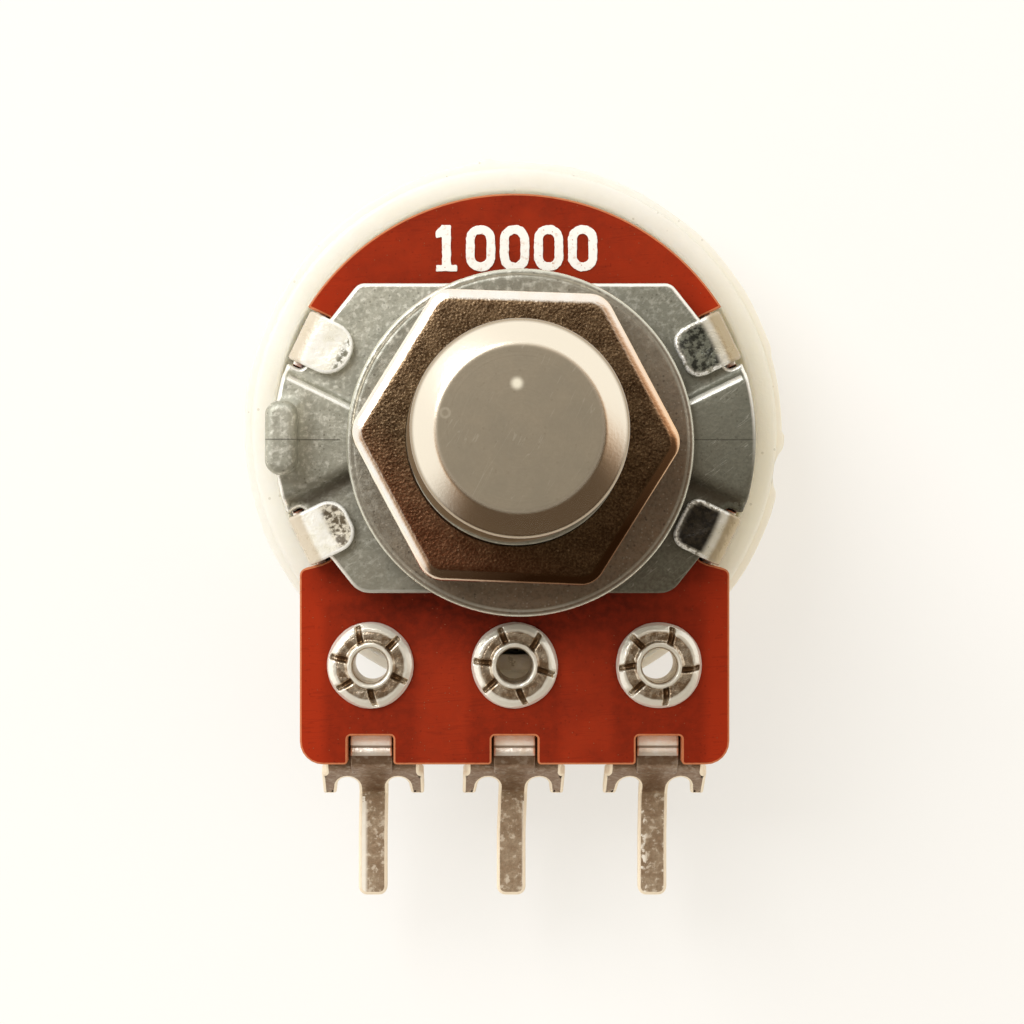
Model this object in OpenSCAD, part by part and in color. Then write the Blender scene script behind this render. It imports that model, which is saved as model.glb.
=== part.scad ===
// Single-gang rotary potentiometer with a threaded bushing, a round shaft and
// three board pins. Millimetres. The shaft turns about Z, the back of the dust
// cover stands on Z = 0, and the pins point along -Y.

/* [Shaft] */
// Diameter of the shaft in front of the bushing
shaft_d = 6; // [5.6:0.05:6.6]
// Length of the shaft from the mounting face to its end
shaft_len = 20; // [14:0.5:30]
// Chamfer around the end of the shaft
shaft_chamfer = 0.7; // [0.2:0.05:1]
// Diameter of the journal that turns inside the bushing
journal_d = 5; // [4.6:0.05:5.3]
// Diameter of the tenon that carries the rotor
tenon_d = 4; // [3.4:0.1:4.4]
// Thickness of the tenon across its two flats
tenon_flats = 3; // [2.4:0.1:3.3]
// Angle that the shaft turns from stop to stop, in degrees
travel = 300; // [260:5:310]

/* [Bushing, nut and washer] */
// Outer diameter of the bushing thread
thread_d = 7; // [6.7:0.05:7.6]
// Length of the bushing in front of the mounting face
bushing_len = 7; // [5:0.5:10]
// Distance between neighbouring crests of the thread
thread_pitch = 0.75; // [0.5:0.05:1]
// Depth from the crest of the thread to the middle of its flanks
thread_half = 0.2; // [0.15:0.05:0.3]
// Chamfer at the mouth of the bushing
bushing_chamfer = 0.4; // [0.1:0.05:0.6]
// Hexagon nut, across the flats
nut_flats = 9.7; // [9.4:0.1:12]
// Hexagon nut, thickness
nut_t = 2; // [1.5:0.1:3]
// Rounding of the upper edges of the nut
nut_round = 0.5; // [0.2:0.05:0.7]
// Angle by which the tightened nut has come to stand, in degrees
nut_turn = -2; // [-30:1:30]
// Outer diameter of the washer
washer_d = 11.8; // [11:0.1:12.2]
// Thickness of the washer
washer_t = 0.5; // [0.3:0.1:1]
// Room between the bushing and the hole of the washer, on the radius
washer_play = 0.3; // [0.1:0.05:0.4]

/* [Mounting plate] */
// Thickness of the plate where the tabs lie on it
plate_t = 1.4; // [1:0.1:2.2]
// Height of the raised mounting face above those flats
face_t = 0.5; // [0.45:0.05:1]
// Distance between the top and the bottom edge of the plate
plate_h = 10.6; // [9.6:0.1:11.2]
// Length of those two straight edges
plate_edge = 10.7; // [9.6:0.1:11.2]
// Length of the anti-rotation lug across its flat sides
lug_len = 2.6; // [1.6:0.1:3.2]
// Thickness of the anti-rotation lug along the radius
lug_t = 1.1; // [0.7:0.1:1.5]
// Height of the anti-rotation lug above the mounting face
lug_h = 1.2; // [0.6:0.1:2.5]

/* [Board] */
// Diameter of the round head of the board
head_d = 17; // [16:0.1:18]
// Thickness of the board
board_t = 1.2; // [0.8:0.1:1.8]
// Width of the tail of the board
tail_w = 14.9; // [14:0.1:16]
// Distance from the shaft's axis to the bottom edge of the tail
tail_reach = 11.3; // [10.6:0.1:13]
// Radius of the two bottom corners
tail_round = 1; // [0.4:0.1:1.6]
// Height of the printed figures
print_h = 1.6; // [1:0.1:1.8]
// Width of the whole printed number
print_w = 5.9; // [4.8:0.1:6.6]

/* [Terminals] */
// Distance between neighbouring terminals
pitch = 5; // [4.7:0.1:5.3]
// Distance from the shaft's axis to the line of eyelets
eyelet_reach = 7.85; // [7.6:0.05:8.2]
// Outer diameter of an eyelet's rolled flange
eyelet_d = 3; // [2.6:0.1:3.2]
// Diameter of the hole through an eyelet
eyelet_hole = 1.2; // [0.8:0.1:1.4]
// Thickness of the terminals' sheet
terminal_t = 0.4; // [0.3:0.05:0.6]
// Width of a terminal behind the board
terminal_w = 3.3; // [2.9:0.1:3.6]
// Width of a board pin
pin_w = 1; // [0.7:0.05:1.2]
// Distance from the shaft's axis to the tips of the pins
pin_reach = 16.3; // [14.5:0.1:20]
// Distance from the back of the board to the front of the pins
pin_drop = 2.1; // [1.2:0.1:3]

/* [Case and cover] */
// How far the rim of the board stands out past the case
rim_overhang = 0.3; // [0.15:0.05:0.5]
// Depth of the case behind the board
case_depth = 6; // [5.8:0.1:9]
// Thickness of the case's sheet steel
case_t = 0.35; // [0.25:0.05:0.45]
// Width of a folded tab
tab_w = 1.8; // [1.2:0.1:2.2]
// How far a folded tab reaches in over the plate
tab_reach = 1.95; // [1.4:0.05:2.1]
// Width of the stop tongue inside the case
stop_w = 3; // [2:0.1:3.4]
// Thickness of the cover's floor
cover_floor = 0.8; // [0.5:0.1:1.5]
// Thickness of the cover's wall
cover_wall = 0.8; // [0.6:0.05:1.3]
// Height of the cover
cover_h = 5.4; // [3:0.1:5.6]
// Room between the case and the cover, on the radius
cover_play = 0.35; // [0.1:0.05:0.5]
// Width and thickness of the thin lip around the cover
cover_lip = 0.35; // [0.2:0.05:0.6]

/* [Inside] */
// Wall of the spigot that centres the plate in the board
spigot_wall = 0.75; // [0.5:0.05:0.9]
// Thickness of the thrust washer
thrust_t = 0.25; // [0.15:0.05:0.4]
// Thickness of the retaining ring
ring_t = 0.35; // [0.2:0.05:0.4]
// Depth of the groove that the retaining ring sits in
groove_depth = 0.4; // [0.2:0.05:0.45]
// Distance from the retaining ring back to the front of the rotor
rotor_gap = 0.9; // [0.6:0.1:1.2]
// Length of the rotor's hub behind its disc
hub_len = 1.4; // [0.8:0.1:1.7]
// Wall of the rotor's hub around the tenon
hub_wall = 1.2; // [0.8:0.1:1.6]
// Thickness of the printed tracks and pads
track_t = 0.06; // [0.04:0.01:0.1]
// Mean radius of the carbon track
carbon_r = 5.9; // [5.7:0.05:6.1]
// Width of the carbon track
carbon_w = 1.4; // [0.8:0.1:1.6]
// Thickness of the rotor's disc
rotor_t = 1.2; // [0.8:0.1:1.6]
// Thickness of the wiper's spring sheet
wiper_t = 0.2; // [0.1:0.05:0.3]

/* [Hidden] */
$fn = 96;
reach = 40;             // longer than any cut has to be
eps = 0.01;             // lets a cut pass the face it starts from

// clearances
running = 0.05;         // shaft in its bushing, on the radius
snug = 0.02;            // pieces that are pushed, screwed or riveted together
endplay = 0.1;          // turning faces, along the shaft
stop_gap = 0.6;         // degrees left between lug and tongue at each stop

// levels along Z, from the back forwards
case_z = cover_floor;
board_z = case_z + case_depth;
front_z = board_z + board_t;
flat_z = front_z + plate_t;
face_z = flat_z + face_t;
washer_z = face_z + washer_t;
nut_z = washer_z + nut_t;
mouth_z = face_z + bushing_len;
end_z = face_z + shaft_len;

// radii around the shaft's axis
case_r = head_d / 2 - rim_overhang;
case_in = case_r - case_t;
bore_r = journal_d / 2 + running;
spigot_r = bore_r + spigot_wall;
spigot_hole = spigot_r + snug;
engaged_r = thread_d / 2 - thread_half;
crest_w = 0.15;         // flat crest of the thread
washer_r = washer_d / 2;
washer_hole = thread_d / 2 + washer_play;
boss_inset = 0.5;
nut_corner = 0.15;      // taken off the nut's corners
boss_r = washer_r - boss_inset;
corner_w = 0.95;        // the plate's four cut corners
corner_h = 1.2;
lug_overhang = 0.25;    // the lug stands out past the wing
lug_round = 0.45 * lug_t;
print_drop = 0.3;       // the print below the middle of the free part of the head
ink_t = 0.04;

// the four tabs
tab_angle = 25.8;       // above and below the X axis
tab_room = 0.1;         // room in the board's notches, on each side
recess_room = 0.5;      // room beside a tab in its recess
recess_half = tab_w / 2 + recess_room;
seat_gap = 0.3;         // between the end of a tab's seat and the wall of the case
seat_r = case_in - seat_gap;
seat_tuck = 0.1;        // edge of a seat that the tab hides
slot_half = tab_w / 2 + 0.17;   // edge of the plate beside a tab, on the wing's side
tab_round = 0.3 * tab_w;
rim_step = 0.1;
side_r = case_r - rim_step;     // board between the tabs
tab_bend = 0.25;        // inner radius of a tab's fold
tab_angles = [tab_angle, 180 - tab_angle, 180 + tab_angle, -tab_angle];
wing_side = [-1, 1, -1, 1];     // the side of each tab on which a wing lies

// parts behind the spigot
ring_inset = 0.2;
ring_r = spigot_r - ring_inset;
groove_r = journal_d / 2 - groove_depth;
thrust_z = board_z - endplay - thrust_t;
ring_z = thrust_z - snug - ring_t;
rotor_z = ring_z - rotor_gap;           // front of the rotor's disc
hub_r = tenon_d / 2 + hub_wall;
hub_z = rotor_z - rotor_t - hub_len;    // back of the hub
stake_t = 0.3;
stake_lip = 0.3;
stake_r = tenon_d / 2 + stake_lip;
disc_inset = 0.6;
disc_r = carbon_r - disc_inset;
stud_r = 0.4;
stud_inset = 1.1;
stud_x = disc_r - stud_inset;
stud_rise = 0.15;       // how far the studs stand out of the spring sheet
ear_half = 2 * stud_r;  // the wiper's two ears around the studs
arm_w = 2;              // the wiper's longer arm
hoop_w = 0.65;          // the wiper's ring around the journal

// stop tongue and stop lug
tongue_inset = 1.6;
tongue_r = case_in - tongue_inset;
tongue_half = asin(stop_w / 2 / tongue_r);
stop_lug_r = tongue_r + 2 * case_t;
stop_lug_half = (360 - travel) / 2 - tongue_half - stop_gap;
tongue_gap = 0.2;
tongue_z = rotor_z - tongue_gap;

// gap in the wall of the case for the lugs
gap_h = 1.2;
gap_half = case_r * cos(tab_angle + 15);

// tracks
pad_span = 12;          // degrees of each end pad on the ring
pad_lead = 5;           // degrees by which the carbon ends before each stop
track_end = travel / 2 - pad_lead;
collector_gap = 0.35;
collector_w = 0.8;
collector_in = spigot_hole + collector_gap;
collector_out = collector_in + collector_w;
trace_half = 0.5;

// terminals
lug_over = 2.15;        // the lug's sheet above the line of eyelets
lug_top = eyelet_reach - lug_over;
tube_wall = 0.33;
tube_r = eyelet_hole / 2 + tube_wall;
rivet_hole = tube_r + snug;
head_t = 0.3;           // flat head of an eyelet, behind
split_w = 0.12;         // splits in an eyelet's rolled flange
split_z = 0.08;
notch_room = 0.3;
notch_half = pin_w / 2 + notch_room;
notch_depth = 1;
hump_room = 0.08;
hump_half = notch_half - hump_room;
sheet_z = board_z - track_t;        // front face of a terminal's lug
shoulder_gap = 0.05;
slope_len = 1.2;        // the bent stretch, seen from the front
shoulder_y = tail_reach + shoulder_gap;
bend_y = shoulder_y + slope_len;
horn_flare = 0.1;
horn_tip = 0.38;
horn_len = 0.9;
arch_rise = 0.7;
horn_half = terminal_w / 2 + horn_flare;
arch_r = (horn_half - horn_tip - pin_w / 2) / 2;
terminal_x = [-pitch, 0, pitch];

// ---------------------------------------------------------------- helpers

module ring(z, h, r_in, r_out)
    translate([0, 0, z])
        linear_extrude(h)
            ring_2d(r_in, r_out);

module ring_2d(r_in, r_out)
    difference() {
        circle(r_out);
        circle(r_in);
    }

// wedge of the plane between two angles, as far out as any part goes
module wedge_2d(from, to) {
    steps = ceil((to - from) / 30);
    polygon(concat([[0, 0]], [for (k = [0:steps])
        let(a = from + (to - from) * k / steps)
        reach * [cos(a), sin(a)]]));
}

module sector_2d(r_in, r_out, from, to)
    intersection() {
        ring_2d(r_in, r_out);
        wedge_2d(from, to);
    }

// square with its four corners rounded
module rounded_2d(w, h, r)
    union() {
        translate([-w / 2 + r, -h / 2]) square([w - 2 * r, h]);
        translate([-w / 2, -h / 2 + r]) square([w, h - 2 * r]);
        for (x = [-1, 1], y = [-1, 1])
            translate([x * (w / 2 - r), y * (h / 2 - r)]) circle(r);
    }

// a profile drawn in Y and Z, extruded along X about X = 0
module across(width)
    translate([-width / 2, 0, 0])
        rotate([90, 0, 90])
            linear_extrude(width)
                children();

// ---------------------------------------------------------------- casting

// outline of the flat part of the plate, with the seats of the tabs
module plate_2d() {
    shoulder = [plate_edge / 2 + corner_w, plate_h / 2 - corner_h];
    intersection() {
        circle(case_r);
        union() {
            polygon([for (q = [[1, 1], [-1, 1], [-1, -1], [1, -1]])
                each (q[0] * q[1] > 0
                    ? [[q[0] * shoulder[0], q[1] * shoulder[1]],
                       [q[0] * plate_edge / 2, q[1] * plate_h / 2]]
                    : [[q[0] * plate_edge / 2, q[1] * plate_h / 2],
                       [q[0] * shoulder[0], q[1] * shoulder[1]]])]);
            for (k = [0:3])
                rotate(tab_angles[k])
                    mirror([0, (wing_side[k] + 1) / 2])
                        seat_2d();
            wing_wedges_2d();
        }
    }
}

// seat of a tab whose wing lies below it: it ends short of the tab's bend and
// reaches the rim only beside the tab
module seat_2d()
    union() {
        translate([0, -recess_half])
            square([seat_r, recess_half + tab_w / 2 - seat_tuck]);
        translate([0, -recess_half])
            square([reach, recess_half - slot_half]);
    }

// the two wings: what the recesses for the tabs leave of a disc
module wings_2d()
    intersection() {
        circle(case_r);
        wing_wedges_2d();
    }

module wing_wedges_2d() {
    apex = recess_half / sin(tab_angle);
    rise = (reach - apex) * tan(tab_angle);
    for (side = [-1, 1])
        polygon([[side * apex, 0], [side * reach, side * rise],
            [side * reach, -side * rise]]);
}

// free stretch of the thread: grooves with flanks at 60 degrees to each other
// between flat crests
module free_thread() {
    length = mouth_z - bushing_chamfer - nut_z;
    turns = floor((length - crest_w) / thread_pitch);
    step = (length - crest_w) / turns;
    half = (step - crest_w) / 2;
    depth = 2 * thread_half;
    root = max(eps, half - depth * tan(30));
    mouth = 2 * half - root;
    difference() {
        cylinder(d = thread_d, h = length);
        for (k = [0:turns - 1])
            translate([0, 0, crest_w + half + k * step])
                rotate_extrude()
                    translate([thread_d / 2, 0])
                        polygon([[-depth, root], [-depth, -root],
                            [depth, -mouth], [depth, mouth]]);
    }
}

module bushing_plate()
    color([0.52, 0.53, 0.50])
        difference() {
            union() {
                translate([0, 0, front_z])
                    linear_extrude(plate_t)
                        plate_2d();
                translate([0, 0, flat_z])
                    linear_extrude(face_t)
                        union() {
                            circle(boss_r);
                            wings_2d();
                        }
                translate([0, 0, board_z])
                    cylinder(r = spigot_r, h = board_t + eps);
                // thread and nut share the middle of the flanks where they engage
                translate([0, 0, face_z - eps])
                    cylinder(r = engaged_r, h = nut_z - face_z + 2 * eps);
                translate([0, 0, nut_z]) free_thread();
                translate([0, 0, mouth_z - bushing_chamfer])
                    cylinder(d1 = thread_d, d2 = thread_d - 2 * bushing_chamfer,
                        h = bushing_chamfer);
                translate([lug_t / 2 - case_r - lug_overhang, 0, flat_z])
                    linear_extrude(face_t + lug_h)
                        rounded_2d(lug_t, lug_len, lug_round);
            }
            translate([0, 0, -reach])
                cylinder(r = bore_r, h = 2 * reach);
        }

// ---------------------------------------------------------------- fasteners

// one pair of flats of the nut, with both upper edges rounded
module nut_bar()
    across(reach)
        union() {
            translate([-nut_flats / 2, 0]) square([nut_flats, nut_t - nut_round]);
            translate([nut_round - nut_flats / 2, 0])
                square([nut_flats - 2 * nut_round, nut_t]);
            for (s = [-1, 1])
                translate([s * (nut_flats / 2 - nut_round), nut_t - nut_round])
                    circle(nut_round);
        }

module mounting_nut()
    color([0.80, 0.76, 0.70])
        translate([0, 0, washer_z])
            rotate(nut_turn)
                difference() {
                    intersection() {
                        nut_bar();
                        rotate(60) nut_bar();
                        rotate(120) nut_bar();
                        cylinder(r = nut_flats / 2 / cos(30) - nut_corner, h = nut_t);
                    }
                    translate([0, 0, -eps])
                        cylinder(r = engaged_r + snug, h = nut_t + 2 * eps);
                }

// the washer has dropped against one side of the bushing
module mounting_washer()
    color([0.60, 0.60, 0.57])
        translate(0.8 * washer_play * [cos(-42), sin(-42), 0])
            ring(face_z, washer_t, washer_hole, washer_r);

// ---------------------------------------------------------------- shaft

// double-D section of the tenon, grown by a clearance
module tenon_2d(gap)
    intersection() {
        circle(d = tenon_d + 2 * gap);
        square([reach, tenon_flats + 2 * gap], center = true);
    }

module shaft()
    color([0.66, 0.64, 0.58])
        difference() {
            union() {
                translate([0, 0, mouth_z + endplay])
                    cylinder(d = shaft_d, h = end_z - shaft_chamfer - mouth_z - endplay);
                translate([0, 0, end_z - shaft_chamfer])
                    cylinder(d1 = shaft_d, d2 = shaft_d - 2 * shaft_chamfer,
                        h = shaft_chamfer);
                translate([0, 0, rotor_z])
                    cylinder(d = journal_d, h = mouth_z + 2 * endplay - rotor_z);
                translate([0, 0, hub_z - eps])
                    linear_extrude(rotor_z - hub_z + 2 * eps)
                        tenon_2d(0);
                translate([0, 0, hub_z - stake_t])
                    cylinder(r = stake_r, h = stake_t);
            }
            ring(ring_z - snug, ring_t + 2 * snug, groove_r, journal_d);
        }

module thrust_washer()
    color([0.75, 0.62, 0.40])
        ring(thrust_z, thrust_t, journal_d / 2 + running, ring_r);

// open ring pushed into the groove from the side
module retaining_ring()
    color([0.35, 0.35, 0.36])
        difference() {
            ring(ring_z, ring_t, groove_r + snug, ring_r);
            translate([0, -groove_r, ring_z - eps])
                cube([reach, 2 * groove_r, ring_t + 2 * eps]);
        }

// ---------------------------------------------------------------- board

module board_2d() {
    difference() {
        union() {
            circle(side_r);
            intersection() {
                circle(d = head_d);
                translate([-reach, case_r * sin(tab_angle)]) square([2 * reach, reach]);
            }
            tail_2d();
        }
        for (a = tab_angles)
            rotate(a)
                translate([case_in - tab_room, -tab_w / 2 - tab_room])
                    square([reach, tab_w + 2 * tab_room]);
        for (x = terminal_x)
            translate([x - notch_half, -tail_reach - eps])
                square([2 * notch_half, notch_depth + eps]);
    }
}

module tail_2d() {
    top = -case_r * sin(tab_angle);
    union() {
        translate([-tail_w / 2, tail_round - tail_reach])
            square([tail_w, top + tail_reach - tail_round]);
        translate([tail_round - tail_w / 2, -tail_reach])
            square([tail_w - 2 * tail_round, 2 * tail_round]);
        for (s = [-1, 1])
            translate([s * (tail_w / 2 - tail_round), tail_round - tail_reach])
                circle(tail_round);
    }
}

module phenolic_board()
    color([0.50, 0.14, 0.06])
        translate([0, 0, board_z])
            difference() {
                linear_extrude(board_t) board_2d();
                translate([0, 0, -eps])
                    cylinder(r = spigot_hole, h = board_t + 2 * eps);
                for (x = terminal_x)
                    translate([x, -eyelet_reach, -eps])
                        cylinder(r = rivet_hole, h = board_t + 2 * eps);
            }

// plain figure nought: two half rings joined by straight sides
module nought_2d(w, h, line)
    difference() {
        capsule_2d(w, h);
        capsule_2d(w - 2 * line, h - 2 * line);
    }

module capsule_2d(w, h)
    union() {
        translate([-w / 2, (w - h) / 2]) square([w, h - w]);
        for (s = [-1, 1])
            translate([0, s * (h - w) / 2]) circle(d = w);
    }

// plain figure one: a stem on a foot, with a short flag
module one_2d(w, h, line)
    union() {
        translate([-line / 2, -h / 2]) square([line, h]);
        translate([-w * 0.36, -h / 2]) square([w * 0.72, line * 0.7]);
        translate([-w * 0.36, h / 2 - line * 1.5]) square([w * 0.36, line * 0.8]);
    }

module value_print() {
    figures = 5;
    step = print_w / figures;
    w = step * 0.86;
    line = step * 0.26;
    color([0.95, 0.93, 0.86])
        translate([-print_w / 2, (plate_h + head_d) / 4 - print_drop, front_z])
            linear_extrude(ink_t)
                for (k = [0:figures - 1])
                    translate([(k + 0.5) * step, 0])
                        if (k == 0) one_2d(w, print_h, line);
                        else nought_2d(w, print_h, line);
}

// ---------------------------------------------------------------- tracks

// thin print on the back of the board, clear of the three eyelets
module printed()
    translate([0, 0, board_z - track_t])
        difference() {
            linear_extrude(track_t) children();
            for (x = terminal_x)
                translate([x, -eyelet_reach, -eps])
                    cylinder(r = rivet_hole, h = track_t + 2 * eps);
        }

module carbon_track()
    color([0.10, 0.10, 0.10])
        printed()
            sector_2d(carbon_r - carbon_w / 2, carbon_r + carbon_w / 2,
                90 - track_end, 90 + track_end);

module collector_track()
    color([0.72, 0.72, 0.70])
        printed()
            union() {
                ring_2d(collector_in, collector_out);
                translate([-trace_half, -eyelet_reach])
                    square([2 * trace_half, eyelet_reach - collector_in - 0.1]);
                translate([0, -eyelet_reach]) circle(d = eyelet_d);
            }

// pad on the left: from the end of the carbon to the left eyelet
module end_pad() {
    turn = 90 + track_end;
    middle = turn + pad_span / 2;
    start = carbon_r * [cos(middle), sin(middle)];
    way = [-pitch, -eyelet_reach] - start;
    printed()
        union() {
            sector_2d(carbon_r - carbon_w / 2, carbon_r + carbon_w / 2,
                turn, turn + pad_span);
            difference() {
                translate(start)
                    rotate(atan2(way[1], way[0]))
                        translate([0, -trace_half])
                            square([norm(way), 2 * trace_half]);
                circle(carbon_r);
            }
            translate([-pitch, -eyelet_reach]) circle(d = eyelet_d);
        }
}

module end_pad_left()
    color([0.72, 0.72, 0.70]) end_pad();

module end_pad_right()
    color([0.72, 0.72, 0.70]) mirror([1, 0, 0]) end_pad();

// ---------------------------------------------------------------- terminals

// tube and rolled front flange, split by the closing tool, with a flat head behind
module eyelet(x) {
    roll = (eyelet_d - eyelet_hole) / 4;
    back = sheet_z - terminal_t;
    color([0.80, 0.77, 0.70])
        translate([x, -eyelet_reach, 0])
            difference() {
                union() {
                    translate([0, 0, back - head_t])
                        cylinder(r = tube_r, h = front_z + eps - back + head_t);
                    translate([0, 0, back - head_t])
                        cylinder(r = eyelet_d / 2 - split_w, h = head_t);
                    rotate_extrude()
                        intersection() {
                            translate([eyelet_hole / 2 + roll, front_z]) circle(roll);
                            translate([0, front_z]) square([eyelet_d, eyelet_d]);
                        }
                }
                translate([0, 0, -eps])
                    cylinder(d = eyelet_hole, h = reach);
                for (a = [20:60:320])
                    rotate(a)
                        translate([tube_r, -split_w / 2, front_z + split_z])
                            cube([eyelet_d, split_w, eyelet_d]);
            }
}

module eyelet_left() eyelet(terminal_x[0]);
module eyelet_middle() eyelet(terminal_x[1]);
module eyelet_right() eyelet(terminal_x[2]);

// the sheet seen from the side: lug, bend back under the tail, straight pin
module terminal_side_2d() {
    fall = pin_drop - track_t;
    polygon([
        [-lug_top, sheet_z],
        [-shoulder_y, sheet_z],
        [-bend_y, sheet_z - fall],
        [-pin_reach, sheet_z - fall],
        [-pin_reach, sheet_z - fall - terminal_t],
        [-bend_y + terminal_t / 2, sheet_z - fall - terminal_t],
        [-shoulder_y + terminal_t / 2, sheet_z - terminal_t],
        [-lug_top, sheet_z - terminal_t]]);
}

// the sheet seen from the front: lug, horns with two arches, pin with a round end
module terminal_front_2d()
    difference() {
        union() {
            translate([-terminal_w / 2, horn_len - eps - bend_y])
                square([terminal_w, bend_y + eps - horn_len - lug_top]);
            translate([-horn_half, -bend_y])
                square([2 * horn_half, horn_len]);
            translate([-pin_w / 2, pin_w / 2 - pin_reach])
                square([pin_w, pin_reach - bend_y]);
            translate([0, pin_w / 2 - pin_reach]) circle(d = pin_w);
        }
        for (s = [-1, 1])
            translate([s * (pin_w / 2 + arch_r), -bend_y])
                union() {
                    translate([0, arch_rise - arch_r]) circle(arch_r);
                    translate([-arch_r, -arch_rise])
                        square([2 * arch_r, 2 * arch_rise - arch_r]);
                }
    }

// the lanced bridge that stands forward in the notch of the board
module terminal_hump_2d() {
    top = board_z + board_t * 0.55;
    start = notch_depth - tail_reach - hump_room;
    crest = [start - notch_depth * 0.35, start - notch_depth * 0.6];
    polygon([
        [start, sheet_z - terminal_t],
        [crest[0], top],
        [crest[1], top],
        [-shoulder_y - terminal_t / 2, sheet_z - terminal_t],
        [-shoulder_y + terminal_t / 2, sheet_z - terminal_t],
        [crest[1] + terminal_t / 4, top - terminal_t],
        [crest[0] - terminal_t / 4, top - terminal_t],
        [start + hump_room, sheet_z - terminal_t]]);
}

module terminal(x)
    color([0.62, 0.56, 0.46])
        translate([x, 0, 0])
            difference() {
                union() {
                    intersection() {
                        across(2 * terminal_w) terminal_side_2d();
                        linear_extrude(reach) terminal_front_2d();
                    }
                    across(2 * hump_half) terminal_hump_2d();
                }
                translate([0, -eyelet_reach, -eps])
                    cylinder(r = rivet_hole, h = reach);
            }

module terminal_left() terminal(terminal_x[0]);
module terminal_middle() terminal(terminal_x[1]);
module terminal_right() terminal(terminal_x[2]);

// ---------------------------------------------------------------- rotor

module rotor()
    color([0.16, 0.15, 0.14])
        difference() {
            union() {
                translate([0, 0, rotor_z - rotor_t])
                    cylinder(r = disc_r, h = rotor_t);
                translate([0, 0, hub_z])
                    cylinder(r = hub_r, h = rotor_z - hub_z);
                translate([0, 0, rotor_z - rotor_t])
                    linear_extrude(rotor_t)
                        sector_2d(disc_r - stud_r, stop_lug_r,
                            90 - stop_lug_half, 90 + stop_lug_half);
                for (s = [-1, 1])
                    translate([s * stud_x, 0, rotor_z - eps])
                        cylinder(r = stud_r, h = wiper_t + stud_rise);
            }
            translate([0, 0, hub_z - eps])
                linear_extrude(rotor_z - hub_z + 2 * eps)
                    tenon_2d(snug);
        }

// sprung arm seen from the side, from the plate out to its contact on a track
module arm_2d(from, to) {
    low = rotor_z;
    high = sheet_z - wiper_t - running;
    tip = 1.5 * wiper_t;
    polygon([
        [from, low], [to, high - wiper_t / 2], [to + tip, high - wiper_t / 2],
        [to + tip, high + wiper_t], [to, high + wiper_t],
        [from, low + wiper_t]]);
}

module wiper_spring() {
    inner = journal_d / 2 + 2 * running;
    outer = inner + hoop_w;
    color([0.72, 0.52, 0.26])
        difference() {
            union() {
                ring(rotor_z, wiper_t, inner, outer);
                for (s = [0, 180])
                    rotate(s)
                        translate([inner + wiper_t, -ear_half, rotor_z])
                            cube([stud_x + ear_half - inner - wiper_t, 2 * ear_half, wiper_t]);
                across(arm_w) arm_2d(outer - wiper_t, carbon_r - 0.75 * wiper_t);
                rotate(180)
                    across(arm_w / 2)
                        arm_2d(outer - wiper_t, collector_in + collector_w / 2 - 0.75 * wiper_t);
            }
            for (s = [-1, 1])
                translate([s * stud_x, 0, rotor_z - eps])
                    cylinder(r = stud_r + snug, h = 1);
        }
}

// ---------------------------------------------------------------- case and cover

// one tab, seen from the side: up the wall and folded in over the plate
module tab_side_2d() {
    bend = case_t + tab_bend;
    top = flat_z + case_t;
    difference() {
        union() {
            translate([case_in, board_z - eps]) square([case_t, top - bend - board_z + eps]);
            translate([case_r - tab_reach, flat_z]) square([tab_reach - bend, case_t]);
            translate([case_r - bend, top - bend]) circle(bend);
        }
        translate([0, 0]) square([case_r - bend, flat_z]);
        translate([0, board_z]) square([case_in, flat_z - board_z]);
    }
}

module tab()
    intersection() {
        rotate([90, 0, 0])
            translate([0, 0, -tab_w / 2])
                linear_extrude(tab_w)
                    tab_side_2d();
        linear_extrude(reach)
            translate([case_r + (tab_round - tab_reach) / 2, 0])
                rounded_2d(tab_reach + tab_round, tab_w, tab_round);
    }

module rear_case()
    color([0.80, 0.79, 0.74])
        union() {
            difference() {
                translate([0, 0, case_z]) cylinder(r = case_r, h = case_depth);
                translate([0, 0, case_z + case_t]) cylinder(r = case_in, h = case_depth);
                // way out for the lugs and the eyelets
                translate([-gap_half, -reach, board_z - gap_h])
                    cube([2 * gap_half, reach, reach]);
                // window that the stop tongue was lanced from
                translate([-stop_w / 2, -tongue_r, -reach / 2])
                    cube([stop_w, tongue_z - case_z, reach]);
            }
            translate([-stop_w / 2, -tongue_r - case_t, case_z])
                cube([stop_w, case_t, tongue_z - case_z]);
            for (a = tab_angles)
                rotate(a) tab();
        }

// the cover is a loose push fit and sits against the lower side of the case
module dust_cover() {
    inner = case_r + cover_play;
    outer = inner + cover_wall;
    color([0.93, 0.93, 0.90])
        translate([0, 0.9 * cover_play, 0])
            difference() {
                union() {
                    cylinder(r = outer, h = cover_h);
                    translate([0, 0, cover_h - 3 * cover_lip])
                        cylinder(r = outer + cover_lip, h = cover_lip);
                }
                translate([0, 0, cover_floor]) cylinder(r = inner, h = cover_h);
            }
}

bushing_plate();
mounting_nut();
mounting_washer();
shaft();
thrust_washer();
retaining_ring();
phenolic_board();
value_print();
carbon_track();
collector_track();
end_pad_left();
end_pad_right();
eyelet_left();
eyelet_middle();
eyelet_right();
terminal_left();
terminal_middle();
terminal_right();
rotor();
wiper_spring();
rear_case();
dust_cover();
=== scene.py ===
# %% [markdown]
# # Dressing a rotary potentiometer
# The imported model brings 22 plain solids: a casting with a threaded bushing, nut, washer, shaft,
# board, rivets, pins, a pressed case and a plastic cover, plus what turns inside. Each solid could
# only be given a colour, but real pieces have rounded edges, a cut thread and folded sheet, so most
# of them get a finer surface here.

# %% Load the frame
import math

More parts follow.
